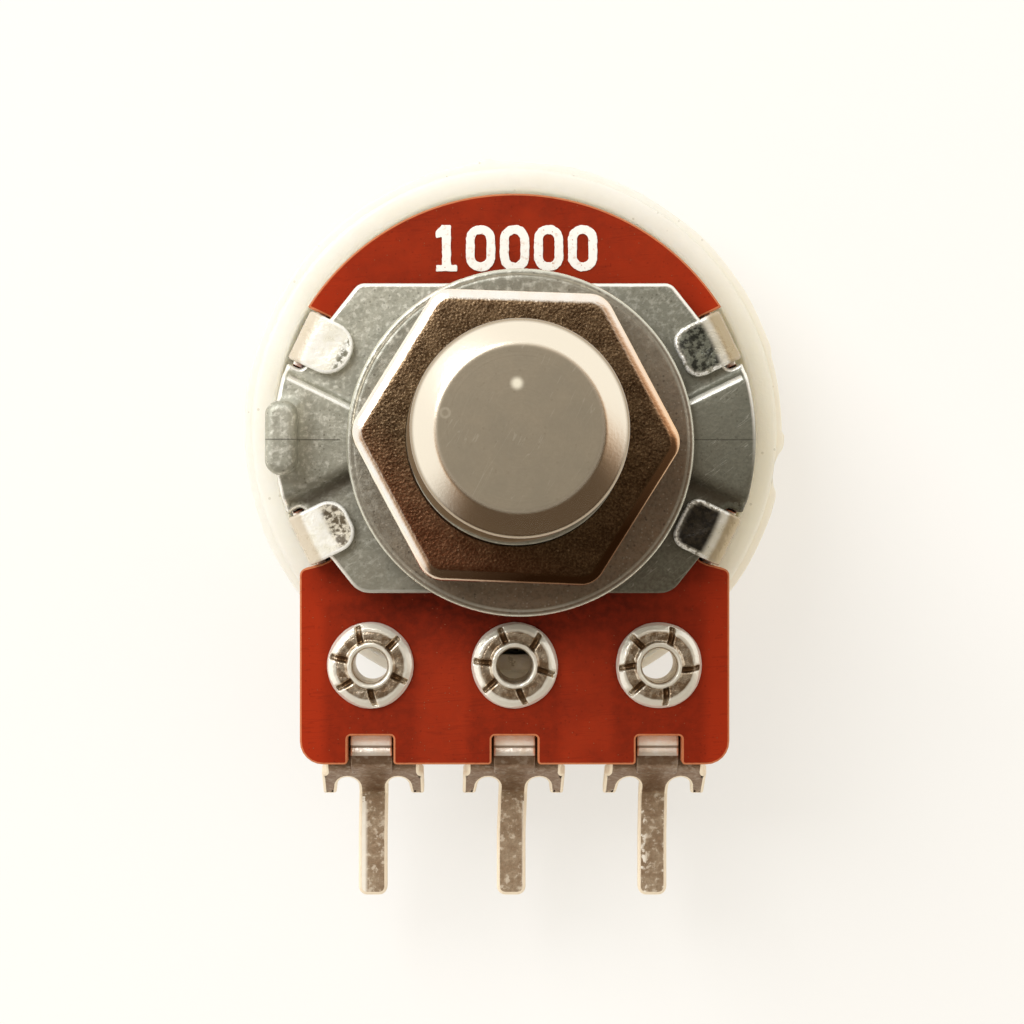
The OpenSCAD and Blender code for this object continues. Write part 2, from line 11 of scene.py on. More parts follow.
import bpy
import numpy as np
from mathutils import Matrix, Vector
from mathutils.geometry import delaunay_2d_cdt


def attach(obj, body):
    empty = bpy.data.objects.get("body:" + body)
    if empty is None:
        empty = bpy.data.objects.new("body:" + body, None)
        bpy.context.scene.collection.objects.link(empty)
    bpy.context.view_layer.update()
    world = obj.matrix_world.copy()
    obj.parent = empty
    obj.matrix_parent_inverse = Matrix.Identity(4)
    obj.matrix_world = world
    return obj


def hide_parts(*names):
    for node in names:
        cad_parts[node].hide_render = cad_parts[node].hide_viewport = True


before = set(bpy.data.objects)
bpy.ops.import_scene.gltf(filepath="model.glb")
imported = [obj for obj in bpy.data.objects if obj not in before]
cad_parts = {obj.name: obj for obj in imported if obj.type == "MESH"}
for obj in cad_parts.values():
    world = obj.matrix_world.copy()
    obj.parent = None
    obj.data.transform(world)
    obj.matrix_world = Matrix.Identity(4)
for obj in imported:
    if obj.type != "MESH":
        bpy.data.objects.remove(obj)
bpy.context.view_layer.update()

# %% [markdown]
# ## Surfaces from arrays
# A small part is made of a few kinds of surface. Turned pieces are a profile carried round the axis.
# Stamped pieces are an outline with a thickness, whose edges are rounded by moving the outline
# inwards step by step. Folded sheet is the same, laid along a bent path. Each could be drawn by hand
# and bevelled, but a formula on whole arrays gives exact sizes and clean highlights. A shell is kept
# as three things: points in millimetres, a list of face arrays, and a "rim" value for each point,
# which is 1 on cut sides and rounded edges, so that a finish can wear them or paint highlights on
# them. Negative values mark places to darken: painted shade under the casting's lower crests, and
# brown in the rivets' slots.

# %% Outlines
def ring_points(radius, count=96, centre=(0, 0), start=0.0):
    """Circle: the point at angle a is centre + radius (cos a, sin a)."""
    a = start + np.linspace(0, 2 * np.pi, count, endpoint=False)
    return np.stack([centre[0] + radius * np.cos(a), centre[1] + radius * np.sin(a)], 1)


def arc_points(radius, first, last, count, centre=(0, 0)):
    """Arc: as the circle, with the angle running from first to last, in degrees."""
    a = np.radians(np.linspace(first, last, count))
    return np.stack([centre[0] + radius * np.cos(a), centre[1] + radius * np.sin(a)], 1)


def rounded(corners, radii, steps=5, closed=True):
    """Polyline with arcs for corners. An arc of radius r touches both sides of its corner at the
    distance r / tan(half the angle between them) and turns by 180 degrees less that angle."""
    corners = np.asarray(corners, float)
    radii = np.broadcast_to(np.asarray(radii, float), (len(corners),))
    pieces, last = [], len(corners) - 1
    for i, (p, r) in enumerate(zip(corners, radii)):
        if r <= 0 or (not closed and i in (0, last)):
            pieces.append(p[None])
            continue
        a, b = corners[i - 1] - p, corners[(i + 1) % (last + 1)] - p
        la, lb = np.linalg.norm(a), np.linalg.norm(b)
        a, b = a / la, b / lb
        half = 0.5 * math.acos(np.clip(a @ b, -1, 1))
        if half > 0.499 * math.pi:
            pieces.append(p[None])
            continue
        touch = min(r / math.tan(half), 0.49 * la, 0.49 * lb)
        radius = touch * math.tan(half)
        centre = p + (a + b) / np.linalg.norm(a + b) * radius / math.sin(half)
        first = p + a * touch - centre
        side = math.copysign(1, b[0] * a[1] - b[1] * a[0])
        turn = math.atan2(first[1], first[0]) + side * np.linspace(0, math.pi - 2 * half, steps + 1)
        pieces.append(centre + radius * np.stack([np.cos(turn), np.sin(turn)], 1))
    return np.concatenate(pieces)


def inset(outline, distance):
    """Moves the sides of a closed outline inwards. A corner moves along the sum of the two inward
    normals, divided by 1 plus their dot product. Counter-clockwise outlines shrink, and clockwise
    ones, which are holes, grow."""
    before = outline - np.roll(outline, 1, 0)
    after = np.roll(outline, -1, 0) - outline
    n1 = np.stack([-before[:, 1], before[:, 0]], 1)
    n2 = np.stack([-after[:, 1], after[:, 0]], 1)
    n1 /= np.linalg.norm(n1, axis=1, keepdims=True)
    n2 /= np.linalg.norm(n2, axis=1, keepdims=True)
    return outline + distance * (n1 + n2) / (1 + (n1 * n2).sum(1, keepdims=True))


def within(points, outline):
    """True for points inside a closed outline: a ray to the right crosses it an odd number of times."""
    x, y = points[:, :1], points[:, 1:2]
    x1, y1 = outline[:, 0], outline[:, 1]
    x2, y2 = np.roll(x1, -1), np.roll(y1, -1)
    spans = (y1 > y) != (y2 > y)
    with np.errstate(divide="ignore", invalid="ignore"):
        crosses = x < (x2 - x1) * (y - y1) / (y2 - y1) + x1
    return (spans & crosses).sum(1) % 2 == 1


def dense(outline, spacing):
    """Adds points along the sides so that none is longer than spacing."""
    ends = np.roll(outline, -1, 0)
    counts = np.maximum(1, np.ceil(np.linalg.norm(ends - outline, axis=1) / spacing).astype(int))
    start, side = np.repeat(outline, counts, 0), np.repeat(ends - outline, counts, 0)
    step = np.arange(counts.sum()) - np.repeat(np.cumsum(counts) - counts, counts)
    return start + side * (step / np.repeat(counts, counts))[:, None]


def lattice(across, up):
    """Every pair of the given x and y, as points."""
    return np.stack(np.meshgrid(across, up), -1).reshape(-1, 2)


def box(x0, y0, x1, y1):
    """The corners of a rectangle, counter-clockwise."""
    return [[x0, y0], [x1, y0], [x1, y1], [x0, y1]]


def bearing(point):
    """Direction of a point from the origin, in degrees."""
    return math.degrees(math.atan2(point[1], point[0]))


def bell(distance, width):
    """1 at no distance, falling off as exp(-(distance / width)^2)."""
    return np.exp(-((distance / width) ** 2))


def climb(value, start, width):
    """0 up to the start, 1 from start + width on, and straight between."""
    return np.clip((value - start) / width, 0, 1)


print("outline helpers ready, a circle of 8:", ring_points(1, 8).round(2)[:2].tolist())

# %% Shells
def join(*shells):
    """Several shells as one: the points follow each other, and the face numbers are shifted."""
    verts, faces, rims, start = [], [], [], 0
    for v, f, r in shells:
        verts.append(v)
        faces += [part + start for part in f]
        rims.append(r)
        start += len(v)
    return np.concatenate(verts), faces, np.concatenate(rims)


def moved(shell, change):
    """A shell whose points have gone through change(x, y, z)."""
    v, f, r = shell
    return np.stack(change(v[:, 0], v[:, 1], v[:, 2]), 1), f, r


def shifted(shell, x=0.0, y=0.0, z=0.0):
    """A shell moved without turning."""
    return shell[0] + [x, y, z], shell[1], shell[2]


def turned_by(shell, degrees):
    """A shell turned about the Z axis."""
    c, s = math.cos(math.radians(degrees)), math.sin(math.radians(degrees))
    return moved(shell, lambda x, y, z: (c * x - s * y, s * x + c * y, z))


def quads(rows, columns, close_rows=False, close_columns=True):
    """Faces of a grid of rows x columns points, seen from outside when rows run upwards and columns
    run counter-clockwise."""
    i = np.arange(rows if close_rows else rows - 1)[:, None]
    j = np.arange(columns if close_columns else columns - 1)[None]
    i2, j2 = (i + 1) % rows, (j + 1) % columns
    corners = [i * columns + j, i * columns + j2, i2 * columns + j2, i2 * columns + j]
    return np.stack(corners, -1).reshape(-1, 4)


def lathe(profile, columns=128, shape=None, closed=False, centre=(0, 0)):
    """Surface of revolution. The profile's point (r, z) at the angle a lies at (r cos a, r sin a, z).
    shape(r, z, a) may change r and z from place to place. A closed profile makes a ring; an open one
    starts and ends on the axis, where the rows shrink to one point each."""
    profile = np.asarray(profile, float)
    a = np.linspace(0, 2 * np.pi, columns, endpoint=False)[None]
    body = profile if closed else profile[1:-1]
    r, z = body[:, :1] + 0 * a, body[:, 1:2] + 0 * a
    if shape:
        r, z = shape(r, z, a + 0 * r)
    verts = np.stack([centre[0] + r * np.cos(a), centre[1] + r * np.sin(a), z], -1).reshape(-1, 3)
    faces = [quads(len(body), columns, close_rows=closed)]
    if not closed:
        low, high = len(verts), len(verts) + 1
        verts = np.concatenate([verts, [[*centre, profile[0, 1]], [*centre, profile[-1, 1]]]])
        j = np.arange(columns)
        j2, top = (j + 1) % columns, (len(body) - 1) * columns
        faces.append(np.stack([0 * j + low, j2, j], 1))
        faces.append(np.stack([0 * j + high, top + j, top + j2], 1))
    return verts, faces, np.zeros(len(verts))


def filled(loops, inner):
    """Delaunay triangles between closed loops, the first of them around the rest, and through the
    inner points. The numbers refer to the loops' points one after another, then the inner ones."""
    points = np.concatenate([*loops, inner])
    edges, start = [], 0
    for loop in loops:
        n = start + np.arange(len(loop))
        edges += np.stack([n, np.roll(n, -1)], 1).tolist()
        start += len(loop)
    made = delaunay_2d_cdt(points.tolist(), edges, [], 1, 1e-7, True)
    source = np.array([ids[0] if ids else -1 for ids in made[3]])
    tris = source[np.array(made[2])]
    tris = tris[(tris >= 0).all(1)]
    middle = points[tris].mean(1)
    keep = within(middle, loops[0])
    for hole in loops[1:]:
        keep &= ~within(middle, hole)
    tris = tris[keep]
    p, q, r = (points[tris[:, k]] for k in range(3))
    area = (q[:, 0] - p[:, 0]) * (r[:, 1] - p[:, 1]) - (q[:, 1] - p[:, 1]) * (r[:, 0] - p[:, 0])
    tris[area < 0] = tris[area < 0][:, ::-1]
    return tris[abs(area) > 1e-10]


def stamped(outline, holes, thickness, top, bottom, steps=3, spacing=None, mouth=1.0, hold=0.02):
    """A piece of sheet from Z = 0 to its thickness. A rounded edge of radius r moves the outline
    inwards by r (1 - cos a) while its height falls short of the face by r (1 - sin a), for a from 0
    to 90 degrees. The flat faces are filled between the last rings. With a spacing, a lattice of
    points goes into the faces, so that the piece can be bent. At the holes the rounded edge is
    narrower by the factor mouth."""
    a = np.linspace(0, np.pi / 2, steps + 1)
    insets = np.r_[bottom + hold, bottom * (1 - np.sin(a)), top * (1 - np.cos(a)), top + hold]
    levels = np.r_[0, bottom * (1 - np.cos(a)), thickness - top * (1 - np.sin(a)), thickness]
    loops = [np.asarray(outline, float)] + [np.asarray(h, float)[::-1] for h in holes]
    if spacing:
        loops = [dense(loop, spacing) for loop in loops]
    narrow = [1] + [mouth] * len(holes)
    rows = [np.stack([inset(loop, d * share) for d in insets]) for loop, share in zip(loops, narrow)]
    verts, faces, rims, lows, highs, start = [], [], [], [], [], 0
    for loop, share in zip(rows, narrow):
        k, n = loop.shape[:2]
        verts.append(np.dstack([loop, np.repeat(levels[:, None], n, 1)]).reshape(-1, 3))
        faces.append(quads(k, n) + start)
        rims.append(np.repeat(np.r_[0, np.ones(k - 2), 0], n) * share)
        lows.append(start + np.arange(n))
        highs.append(start + (k - 1) * n + np.arange(n))
        start += k * n
    inner = np.zeros((0, 2))
    if spacing:
        (x0, y0), (x1, y1) = loops[0].min(0), loops[0].max(0)
        inner = lattice(np.arange(x0, x1, spacing), np.arange(y0, y1, spacing))
        gap = max(top, bottom) + hold + 0.35 * spacing
        keep = within(inner, inset(loops[0], gap))
        for hole in loops[1:]:
            keep &= ~within(inner, inset(hole, gap)[::-1])
        inner = inner[keep]
    for level, ids, row, flip in ((thickness, highs, -1, False), (0, lows, 0, True)):
        tris = filled([loop[row] for loop in rows], inner)
        numbers = np.concatenate([*ids, start + np.arange(len(inner))])
        faces.append(numbers[tris][:, ::-1] if flip else numbers[tris])
        verts.append(np.column_stack([inner, np.full(len(inner), float(level))]))
        rims.append(np.zeros(len(inner)))
        start += len(inner)
    return np.concatenate(verts), faces, np.concatenate(rims)


def folded(shell, path, thickness):
    """Lays a stamped shell along a path in the Y-Z plane. Its Y is kept, its middle layer follows the
    path's height z(y), and its thickness stands square to the path: the point at the layer t goes to
    y - t sin(slope), z + t cos(slope)."""
    path = path[np.argsort(path[:, 0])]
    fine = np.linspace(path[0, 0], path[-1, 0], 1200)
    height = np.interp(fine, path[:, 0], path[:, 1])
    slope = np.arctan(np.gradient(height, fine))

    def change(x, y, t):
        lift, s = t - thickness / 2, np.interp(y, fine, slope)
        return x, y - lift * np.sin(s), np.interp(y, fine, height) + lift * np.cos(s)

    return moved(shell, change)


def put(name, shell, material, body, stands_for=()):
    """Makes the object: points in metres, faces, smooth shading and the rim values. It rides on a
    body, and stands for the plain solids that it replaces."""
    verts, faces, rim = shell
    mesh = bpy.data.meshes.new(name)
    mesh.from_pydata((verts * 0.001).tolist(), [], [f for part in faces for f in part.tolist()])
    mesh.attributes.new("rim", "FLOAT", "POINT").data.foreach_set("value", rim.astype(np.float32))
    mesh.polygons.foreach_set("use_smooth", np.ones(len(mesh.polygons), bool))
    mesh.materials.append(material)
    mesh.update()
    piece = bpy.data.objects.new(name, mesh)
    bpy.context.scene.collection.objects.link(piece)
    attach(piece, body)
    if stands_for:
        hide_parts(*stands_for)
    size = (verts.max(0) - verts.min(0)).round(2).tolist()
    print(f"{name}: {len(mesh.polygons)} faces, {size} mm")


print("a washer of 4 corners has", len(stamped(ring_points(2, 4), [ring_points(1, 4)], 1.0, 0.05, 0.03)[0]),
      "points")

# %% [markdown]
# ## Shared effects as node groups
# Metal that has been cast, pressed, plated and handled shows the same few things everywhere: cloudy
# patches, a fine grain, specks, hairline scratches and bright worn edges; some finishes below also
# use the worn-edge mask for painted highlights. Each effect could be drawn again in every material,
# but as a group with named sockets it is made once and given its own numbers in each. The groups put
# out only masks and heights; the shader itself stays in the material.

# %% Node helpers
class Wire:
    """The output of a node. Arithmetic on wires adds Math nodes: + - * / < > and abs as usual, and |
    for the larger of two masks."""

    def __init__(self, made, output=0):
        self.socket, self.tree = made.outputs[output], made.id_data

    def __add__(self, other):
        return calc("ADD", self, other)

    def __sub__(self, other):
        return calc("SUBTRACT", self, other)

    def __rsub__(self, other):
        return calc("SUBTRACT", other, self)

    def __mul__(self, other):
        return calc("MULTIPLY", self, other)

    def __truediv__(self, other):
        return calc("DIVIDE", self, other)

    def __lt__(self, other):
        return calc("LESS_THAN", self, other)

    def __gt__(self, other):
        return calc("GREATER_THAN", self, other)

    def __or__(self, other):
        return calc("MAXIMUM", self, other)

    def __abs__(self):
        return calc("ABSOLUTE", self)


def plug(socket, value):
    """Links a wire to a socket, or sets the socket's own value."""
    if isinstance(value, Wire):
        socket.id_data.links.new(value.socket, socket)
    else:
        socket.default_value = value


def add(tree, kind, sockets=(), **settings):
    """Adds a node. Sockets are given by name or number, as a plain value or as the wire to link."""
    made = tree.nodes.new("ShaderNode" + kind)
    for key, value in settings.items():
        setattr(made, key, value)
    for key, value in dict(sockets).items():
        plug(made.inputs[key], value)
    return made


def calc(operation, a, b=0.0, clamp=False):
    """One step of arithmetic on values that change over the surface."""
    tree = (a if isinstance(a, Wire) else b).tree
    return Wire(add(tree, "Math", {0: a, 1: b}, operation=operation, use_clamp=clamp))


def lerp(mask, first, second):
    """Value that goes from first to second with the mask."""
    return Wire(add(mask.tree, "Mix", {0: mask, 2: first, 3: second}, data_type="FLOAT"))


def paint(red, green, blue):
    """Colour as a screen shows it, 0 to 255, as the linear numbers that a shader works with."""
    c = np.array([red, green, blue]) / 255
    return (*np.where(c < 0.04045, c / 12.92, ((c + 0.055) / 1.055) ** 2.4).tolist(), 1.0)


def blend(mask, first, second):
    """Colour that goes from first to second with the mask. Three numbers are a screen's colour."""
    first, second = (c if isinstance(c, Wire) or len(c) == 4 else paint(*c) for c in (first, second))
    return Wire(add(mask.tree, "Mix", {0: mask, 6: first, 7: second}, data_type="RGBA"), 2)


def ramp(value, low, high, smooth=True, falling=False):
    """Mask that goes from 0 to 1, or from 1 to 0, while the value goes from low to high."""
    ends = {"From Min": low, "From Max": high, "To Min": float(falling), "To Max": float(not falling)}
    kind = "SMOOTHSTEP" if smooth else "LINEAR"
    return Wire(add(value.tree, "MapRange", {"Value": value, **ends}, interpolation_type=kind))


def along(place, way):
    """How far the place lies along a direction."""
    return Wire(add(place.tree, "VectorMath", {0: place, 1: way}, operation="DOT_PRODUCT"), "Value")


def parts(place):
    """The three coordinates of a place."""
    split = add(place.tree, "SeparateXYZ", {0: place})
    return [Wire(split, k) for k in range(3)]


def make_group(name, inputs, output, build):
    """A shader group that reads a Vector and the named inputs, given as {name: default}.
    build(place, *inputs) returns the wire to put out."""
    tree = bpy.data.node_groups.new(name, "ShaderNodeTree")
    tree.interface.new_socket("Vector", in_out="INPUT", socket_type="NodeSocketVector")
    for label, default in inputs.items():
        socket = tree.interface.new_socket(label, in_out="INPUT", socket_type="NodeSocketFloat")
        socket.default_value = default
    tree.interface.new_socket(output, in_out="OUTPUT", socket_type="NodeSocketFloat")
    given = tree.nodes.new("NodeGroupInput")
    result = build(*(Wire(given, label) for label in ("Vector", *inputs)))
    plug(tree.nodes.new("NodeGroupOutput").inputs[output], result)
    return tree


print("a mid grey of 128 is", round(paint(128, 128, 128)[0], 3), "in linear light")

# %% The groups
def noise(place, scale, **settings):
    """Fractal noise around 0.5."""
    return Wire(add(place.tree, "TexNoise", {"Vector": place, "Scale": scale, **settings}))


def patches(place, scale, level, softness):
    """Noise, cut at a level with a soft edge."""
    half = softness * 0.5
    return ramp(noise(place, scale, Detail=5.0, Roughness=0.62), level - half, level + half)


def grain(place, scale, cells):
    """Fine noise that turns into cells."""
    crystals = add(place.tree, "TexVoronoi", {"Vector": place, "Scale": scale * 0.6})
    return lerp(cells, noise(place, scale, Detail=3.0, Roughness=0.7), Wire(crystals))


def specks(place, scale, size, share):
    """Dots round the middles of cells, kept in a share of the cells that their colour picks."""
    cells = add(place.tree, "TexVoronoi", {"Vector": place, "Scale": scale, "Randomness": 1.0})
    pick = Wire(add(place.tree, "SeparateColor", {0: Wire(cells, "Color")}))
    return (Wire(cells, "Distance") < size) * (pick < share)


def scratches(place, scale, angle, width):
    """Thin lines where a stretched noise crosses its middle, gated by a coarser noise."""
    turn = Wire(add(place.tree, "VectorRotate", {"Vector": place, "Angle": angle}, rotation_type="Z_AXIS"))
    pull = Wire(add(place.tree, "VectorMath", {0: turn, 1: (1.0, 0.06, 0.4)}, operation="MULTIPLY"))
    line = abs(noise(pull, scale, Detail=2.0, Distortion=0.2) - 0.5) < width
    return line * (noise(place, scale * 0.3, Detail=1.0) > 0.52)


def worn(place, rim, scale, roughness, amount):
    """The rim value, made ragged by noise and cut off below 1 - amount."""
    rough = (noise(place, scale, Detail=4.0, Roughness=0.6) - 0.5) * roughness
    return ramp(rim + rough, 1.0 - amount, 1.0)


def turning(place, pitch):
    """Rings: one-dimensional noise over the radius plus the height."""
    x, y, z = parts(place)
    steps = {"W": (calc("SQRT", x * x + y * y) + z) / pitch, "Scale": 1.0, "Detail": 2.0}
    return Wire(add(place.tree, "TexNoise", steps, noise_dimensions="1D"))


PATCHES = make_group("cloudy_patches", {"Scale": 1.0, "Level": 0.5, "Softness": 0.2}, "Mask", patches)
GRAIN = make_group("surface_grain", {"Scale": 8.0, "Cells": 0.0}, "Height", grain)
SPECKS = make_group("specks", {"Scale": 4.0, "Size": 0.2, "Share": 0.3}, "Mask", specks)
SCRATCHES = make_group("hairline_scratches", {"Scale": 4.0, "Angle": 0.5, "Width": 0.01}, "Mask", scratches)
WEAR = make_group("worn_rim", {"Rim": 0.0, "Scale": 3.0, "Roughness": 0.6, "Amount": 0.5}, "Mask", worn)
TURNING = make_group("turning_marks", {"Pitch": 0.1}, "Height", turning)
print("groups:", ", ".join(g.name for g in bpy.data.node_groups))

# %% A finish to start from
class Finish:
    """A material with its shader, and its place on the piece in millimetres. It reads Object
    coordinates, so it stays put when the piece turns. Its colour is built up in layers."""

    def __init__(self, name):
        self.material = bpy.data.materials.new(name)
        self.material.use_nodes = True
        self.tree = self.material.node_tree
        self.tree.nodes.clear()
        self.shader = add(self.tree, "BsdfPrincipled")
        self.surface = add(self.tree, "OutputMaterial", {"Surface": Wire(self.shader)})
        where = Wire(add(self.tree, "TexCoord"), "Object")
        scaled = add(self.tree, "VectorMath", {0: where, "Scale": 1000.0}, operation="SCALE")
        self.place, self.colour, self.normal = Wire(scaled), None, None

    def use(self, group, **sockets):
        """Places a group and returns its output."""
        made = add(self.tree, "Group", node_tree=group)
        for key, value in {"Vector": self.place, **sockets}.items():
            plug(made.inputs[key], value)
        return Wire(made)

    def xyz(self):
        """The place's three coordinates."""
        return parts(self.place)

    def rim(self):
        """The rim value that the shells carry: 1 on cut sides and rounded edges."""
        return Wire(add(self.tree, "Attribute", attribute_name="rim"), "Fac")

    def slant(self, way, first, last):
        """Mask that goes from 0 to 1 across the piece: the distance along a direction in the plan."""
        return ramp(along(self.place, (*way, 0.0)), first, last, smooth=False)

    def radius(self, stretch=1.0):
        """Distance from the Z axis, with x stretched."""
        flat = add(self.tree, "VectorMath", {0: self.place, 1: (stretch, 1.0, 0.0)}, operation="MULTIPLY")
        return Wire(add(self.tree, "VectorMath", {0: Wire(flat)}, operation="LENGTH"), "Value")

    def distance(self, point):
        """Distance from a point."""
        return Wire(add(self.tree, "VectorMath", {0: self.place, 1: point}, operation="DISTANCE"), "Value")

    def over(self, mask, colour):
        """Lays a colour over what is there."""
        self.colour = blend(mask, self.colour, colour)

    def relief(self, height, depth):
        """Raises the surface by height times depth, in millimetres, on top of any relief before."""
        sockets = {"Height": height, "Distance": depth * 0.001, "Strength": 1.0}
        if self.normal:
            sockets["Normal"] = self.normal
        self.normal = Wire(add(self.tree, "Bump", sockets))
        plug(self.shader.inputs["Normal"], self.normal)

    def feed(self, **sockets):
        """Gives the shader the layered colour and its other sockets."""
        for key, value in {"Base_Color": self.colour, **sockets}.items():
            plug(self.shader.inputs[key.replace("_", " ")], value)


print("starting materials:", len(bpy.data.materials))

# %% [markdown]
# ## The casting: mounting plate, wings and threaded bushing
# One zinc die casting carries everything. Its flat plate lies on the board, and four recesses take
# the folded tabs. Between them two wings stand up 0.5 mm as the face that meets the panel, with
# walls that slope a little so that the casting leaves its mould. The plate could be boxes with
# bevels, but a height over the plan gives slopes, rounded crests and feet in one surface. The
# bushing is turned: its screw thread is a profile whose radius also depends on the angle.

# %% Levels and the thread, in mm
BOARD_Z, FRONT_Z, FLAT_Z, FACE_Z = 6.8, 8.0, 9.4, 9.9
WASHER_Z, NUT_Z, MOUTH_Z, END_Z = 10.4, 12.4, 16.9, 29.9
BORE_R, THREAD_R, THREAD_PITCH, THREAD_DEPTH = 2.55, 3.5, 0.75, 0.42


def thread(r, z, a):
    """Screw thread of 60 degrees: the distance from the middle of the groove, as a share of the
    pitch, is the saw-tooth |frac(z / pitch - a / full turn) - 1/2|, cut flat at crest and root."""
    turn = np.abs((z / THREAD_PITCH - a / (2 * np.pi)) % 1 - 0.5) * 2
    depth = THREAD_DEPTH * climb(turn, 0.14, 0.68)
    cut = THREAD_R - depth
    zone = (r > 3.4) & (r < 3.56) & (z > FACE_Z + 0.05)
    fade = np.clip((MOUTH_Z - z - 0.02) / 0.4, 0, 1)
    top = THREAD_R - THREAD_DEPTH * (1 - fade)
    return np.where(zone, np.minimum(cut, top), r), z


rows = np.arange(FACE_Z + 0.06, MOUTH_Z - 0.02, THREAD_PITCH / 16)
outside = [
    [BORE_R, BOARD_Z + 0.05], [BORE_R + 0.05, BOARD_Z], [3.25, BOARD_Z], [3.3, BOARD_Z + 0.05], [3.3, 8.3],
    [5.2, 8.3], [5.4, 8.5], [5.4, FACE_Z - 0.12], [5.28, FACE_Z], [3.5, FACE_Z + 0.005],
]
inside = [
    [3.02, MOUTH_Z], [2.78, MOUTH_Z], [2.7, MOUTH_Z - 0.02],
    [BORE_R, MOUTH_Z - 0.2], [BORE_R, MOUTH_Z - 0.3],
]
bushing_profile = np.concatenate([outside, np.stack([0 * rows + THREAD_R, rows], 1), inside])
free_turns = (MOUTH_Z - NUT_Z) / THREAD_PITCH
print("bushing profile:", len(bushing_profile), "points,", round(free_turns, 1), "free turns of thread")

# %% Outline of the plate
TAB_ANGLE, TAB_HALF, SLOT_HALF, SEAT_R, WING_R = 25.8, 1.4, 1.07, 7.55, 8.2
TA = math.radians(TAB_ANGLE)
TAB_U, TAB_V = np.array([math.cos(TA), math.sin(TA)]), np.array([-math.sin(TA), math.cos(TA)])


def plate_outline():
    """One quarter runs from the wing's arc past the slot beside a tab and the end of its seat to the
    cut corner and the straight edge; the other quarters are its mirror images. Along the line at 25.8
    degrees the slot's edge is 1.07 mm to one side, and the tab hides the seat's other edge."""
    arc_u = math.sqrt(WING_R**2 - SLOT_HALF**2)
    arc = arc_points(WING_R, 0, bearing(TAB_U * arc_u - TAB_V * SLOT_HALF), 14)
    wall = [TAB_U * SEAT_R - TAB_V * SLOT_HALF, TAB_U * SEAT_R + TAB_V * 0.8, [6.3, 4.1]]
    quarter = np.concatenate([arc, wall, [[5.35, 5.3]]])
    size = np.concatenate([np.zeros(13), [0.1, 0.2, 0.05, 0.1, 0.45]])
    low = size.copy()
    low[-1] = 0.8
    parts, radii = [], []
    for sx, sy, r in ((1, 1, size), (-1, 1, size), (-1, -1, low), (1, -1, low)):
        part, keep = quarter * [sx, sy], r
        if sx * sy < 0:
            part, keep = part[::-1], r[::-1]
        parts.append(part)
        radii.append(keep)
    corners, radii = np.concatenate(parts), np.concatenate(radii)
    fresh = np.linalg.norm(corners - np.roll(corners, 1, 0), axis=1) > 1e-6
    return rounded(corners[fresh], radii[fresh], 5)


casting_outline = plate_outline()
print("plate outline:", len(casting_outline), "points", np.abs(casting_outline).max(0).round(2).tolist())

# %% Height of the casting over its plan
SLOPE_D = np.array([-0.2, -0.1, -0.03, 0.04, 0.1, 0.17, 0.26])
SLOPE_H = np.array([0.0, 0.03, 0.14, 0.33, 0.44, 0.49, 0.5])
LOWER_SLOPE = 0.75  # the lower wings rise more gently


def wing_inside(x, y):
    """How far a point of the plan is inside its wing: its distance to the strip of the nearest tab."""
    return np.abs(x) * math.sin(TA) - np.abs(y) * math.cos(TA) - TAB_HALF


def casting_rise(x, y):
    """Height above the tabs' seats: the wing's slope, less a shallow step across the left wing, plus
    the skirt around the lug."""
    d = wing_inside(x, y)
    d = np.where(y < 0, d * LOWER_SLOPE, d)
    rise = np.interp(d, SLOPE_D, SLOPE_H)
    on_wing = np.clip(d / 0.2, 0, 1)
    step = 0.04 / (1 + np.exp(-(x + 7.02) / 0.05)) * (x < -6.6) + 0.04 * (x >= -6.6)
    lug = np.maximum(np.abs(x + 7.9) - 0.45, 0) ** 2 + np.maximum(np.abs(y) - 1.15, 0) ** 2
    skirt = 0.3 * np.exp(-np.sqrt(lug) / 0.12)
    wave = 0.012 * np.sin(2.1 * x + 1) * np.cos(2.7 * y)
    return rise - on_wing * (step - 0.04 - skirt) + wave * np.clip(1 - on_wing, 0.3, 1)


# points along the wings' slopes, so that their crests come out as clean lines
reach = np.arange(4.6, 8.15, 0.09)[:, None]
lines = []
for sx in (1, -1):
    for sy in (1, -1):
        for d in SLOPE_D / (LOWER_SLOPE if sy < 0 else 1):
            lines.append((reach * TAB_U - (TAB_HALF + d) * TAB_V) * [sx, sy])
slope_points = np.concatenate(lines)
even = lattice(np.arange(-8.2, 8.2, 0.11), np.arange(-5.3, 5.3, 0.11))
near_slope = np.abs(wing_inside(*even.T) - 0.03) < 0.36
even = even[(np.hypot(*even.T) > 4.7) & ~near_slope]
slope_points = slope_points[np.abs(slope_points[:, 1]) > 0.02]
plan_points = np.concatenate([even, slope_points])
on_plate = within(plan_points, inset(casting_outline, 0.2)) & (np.hypot(*plan_points.T) > 4.75)
plan_points = plan_points[on_plate]
print("points over the plan:", len(plan_points))

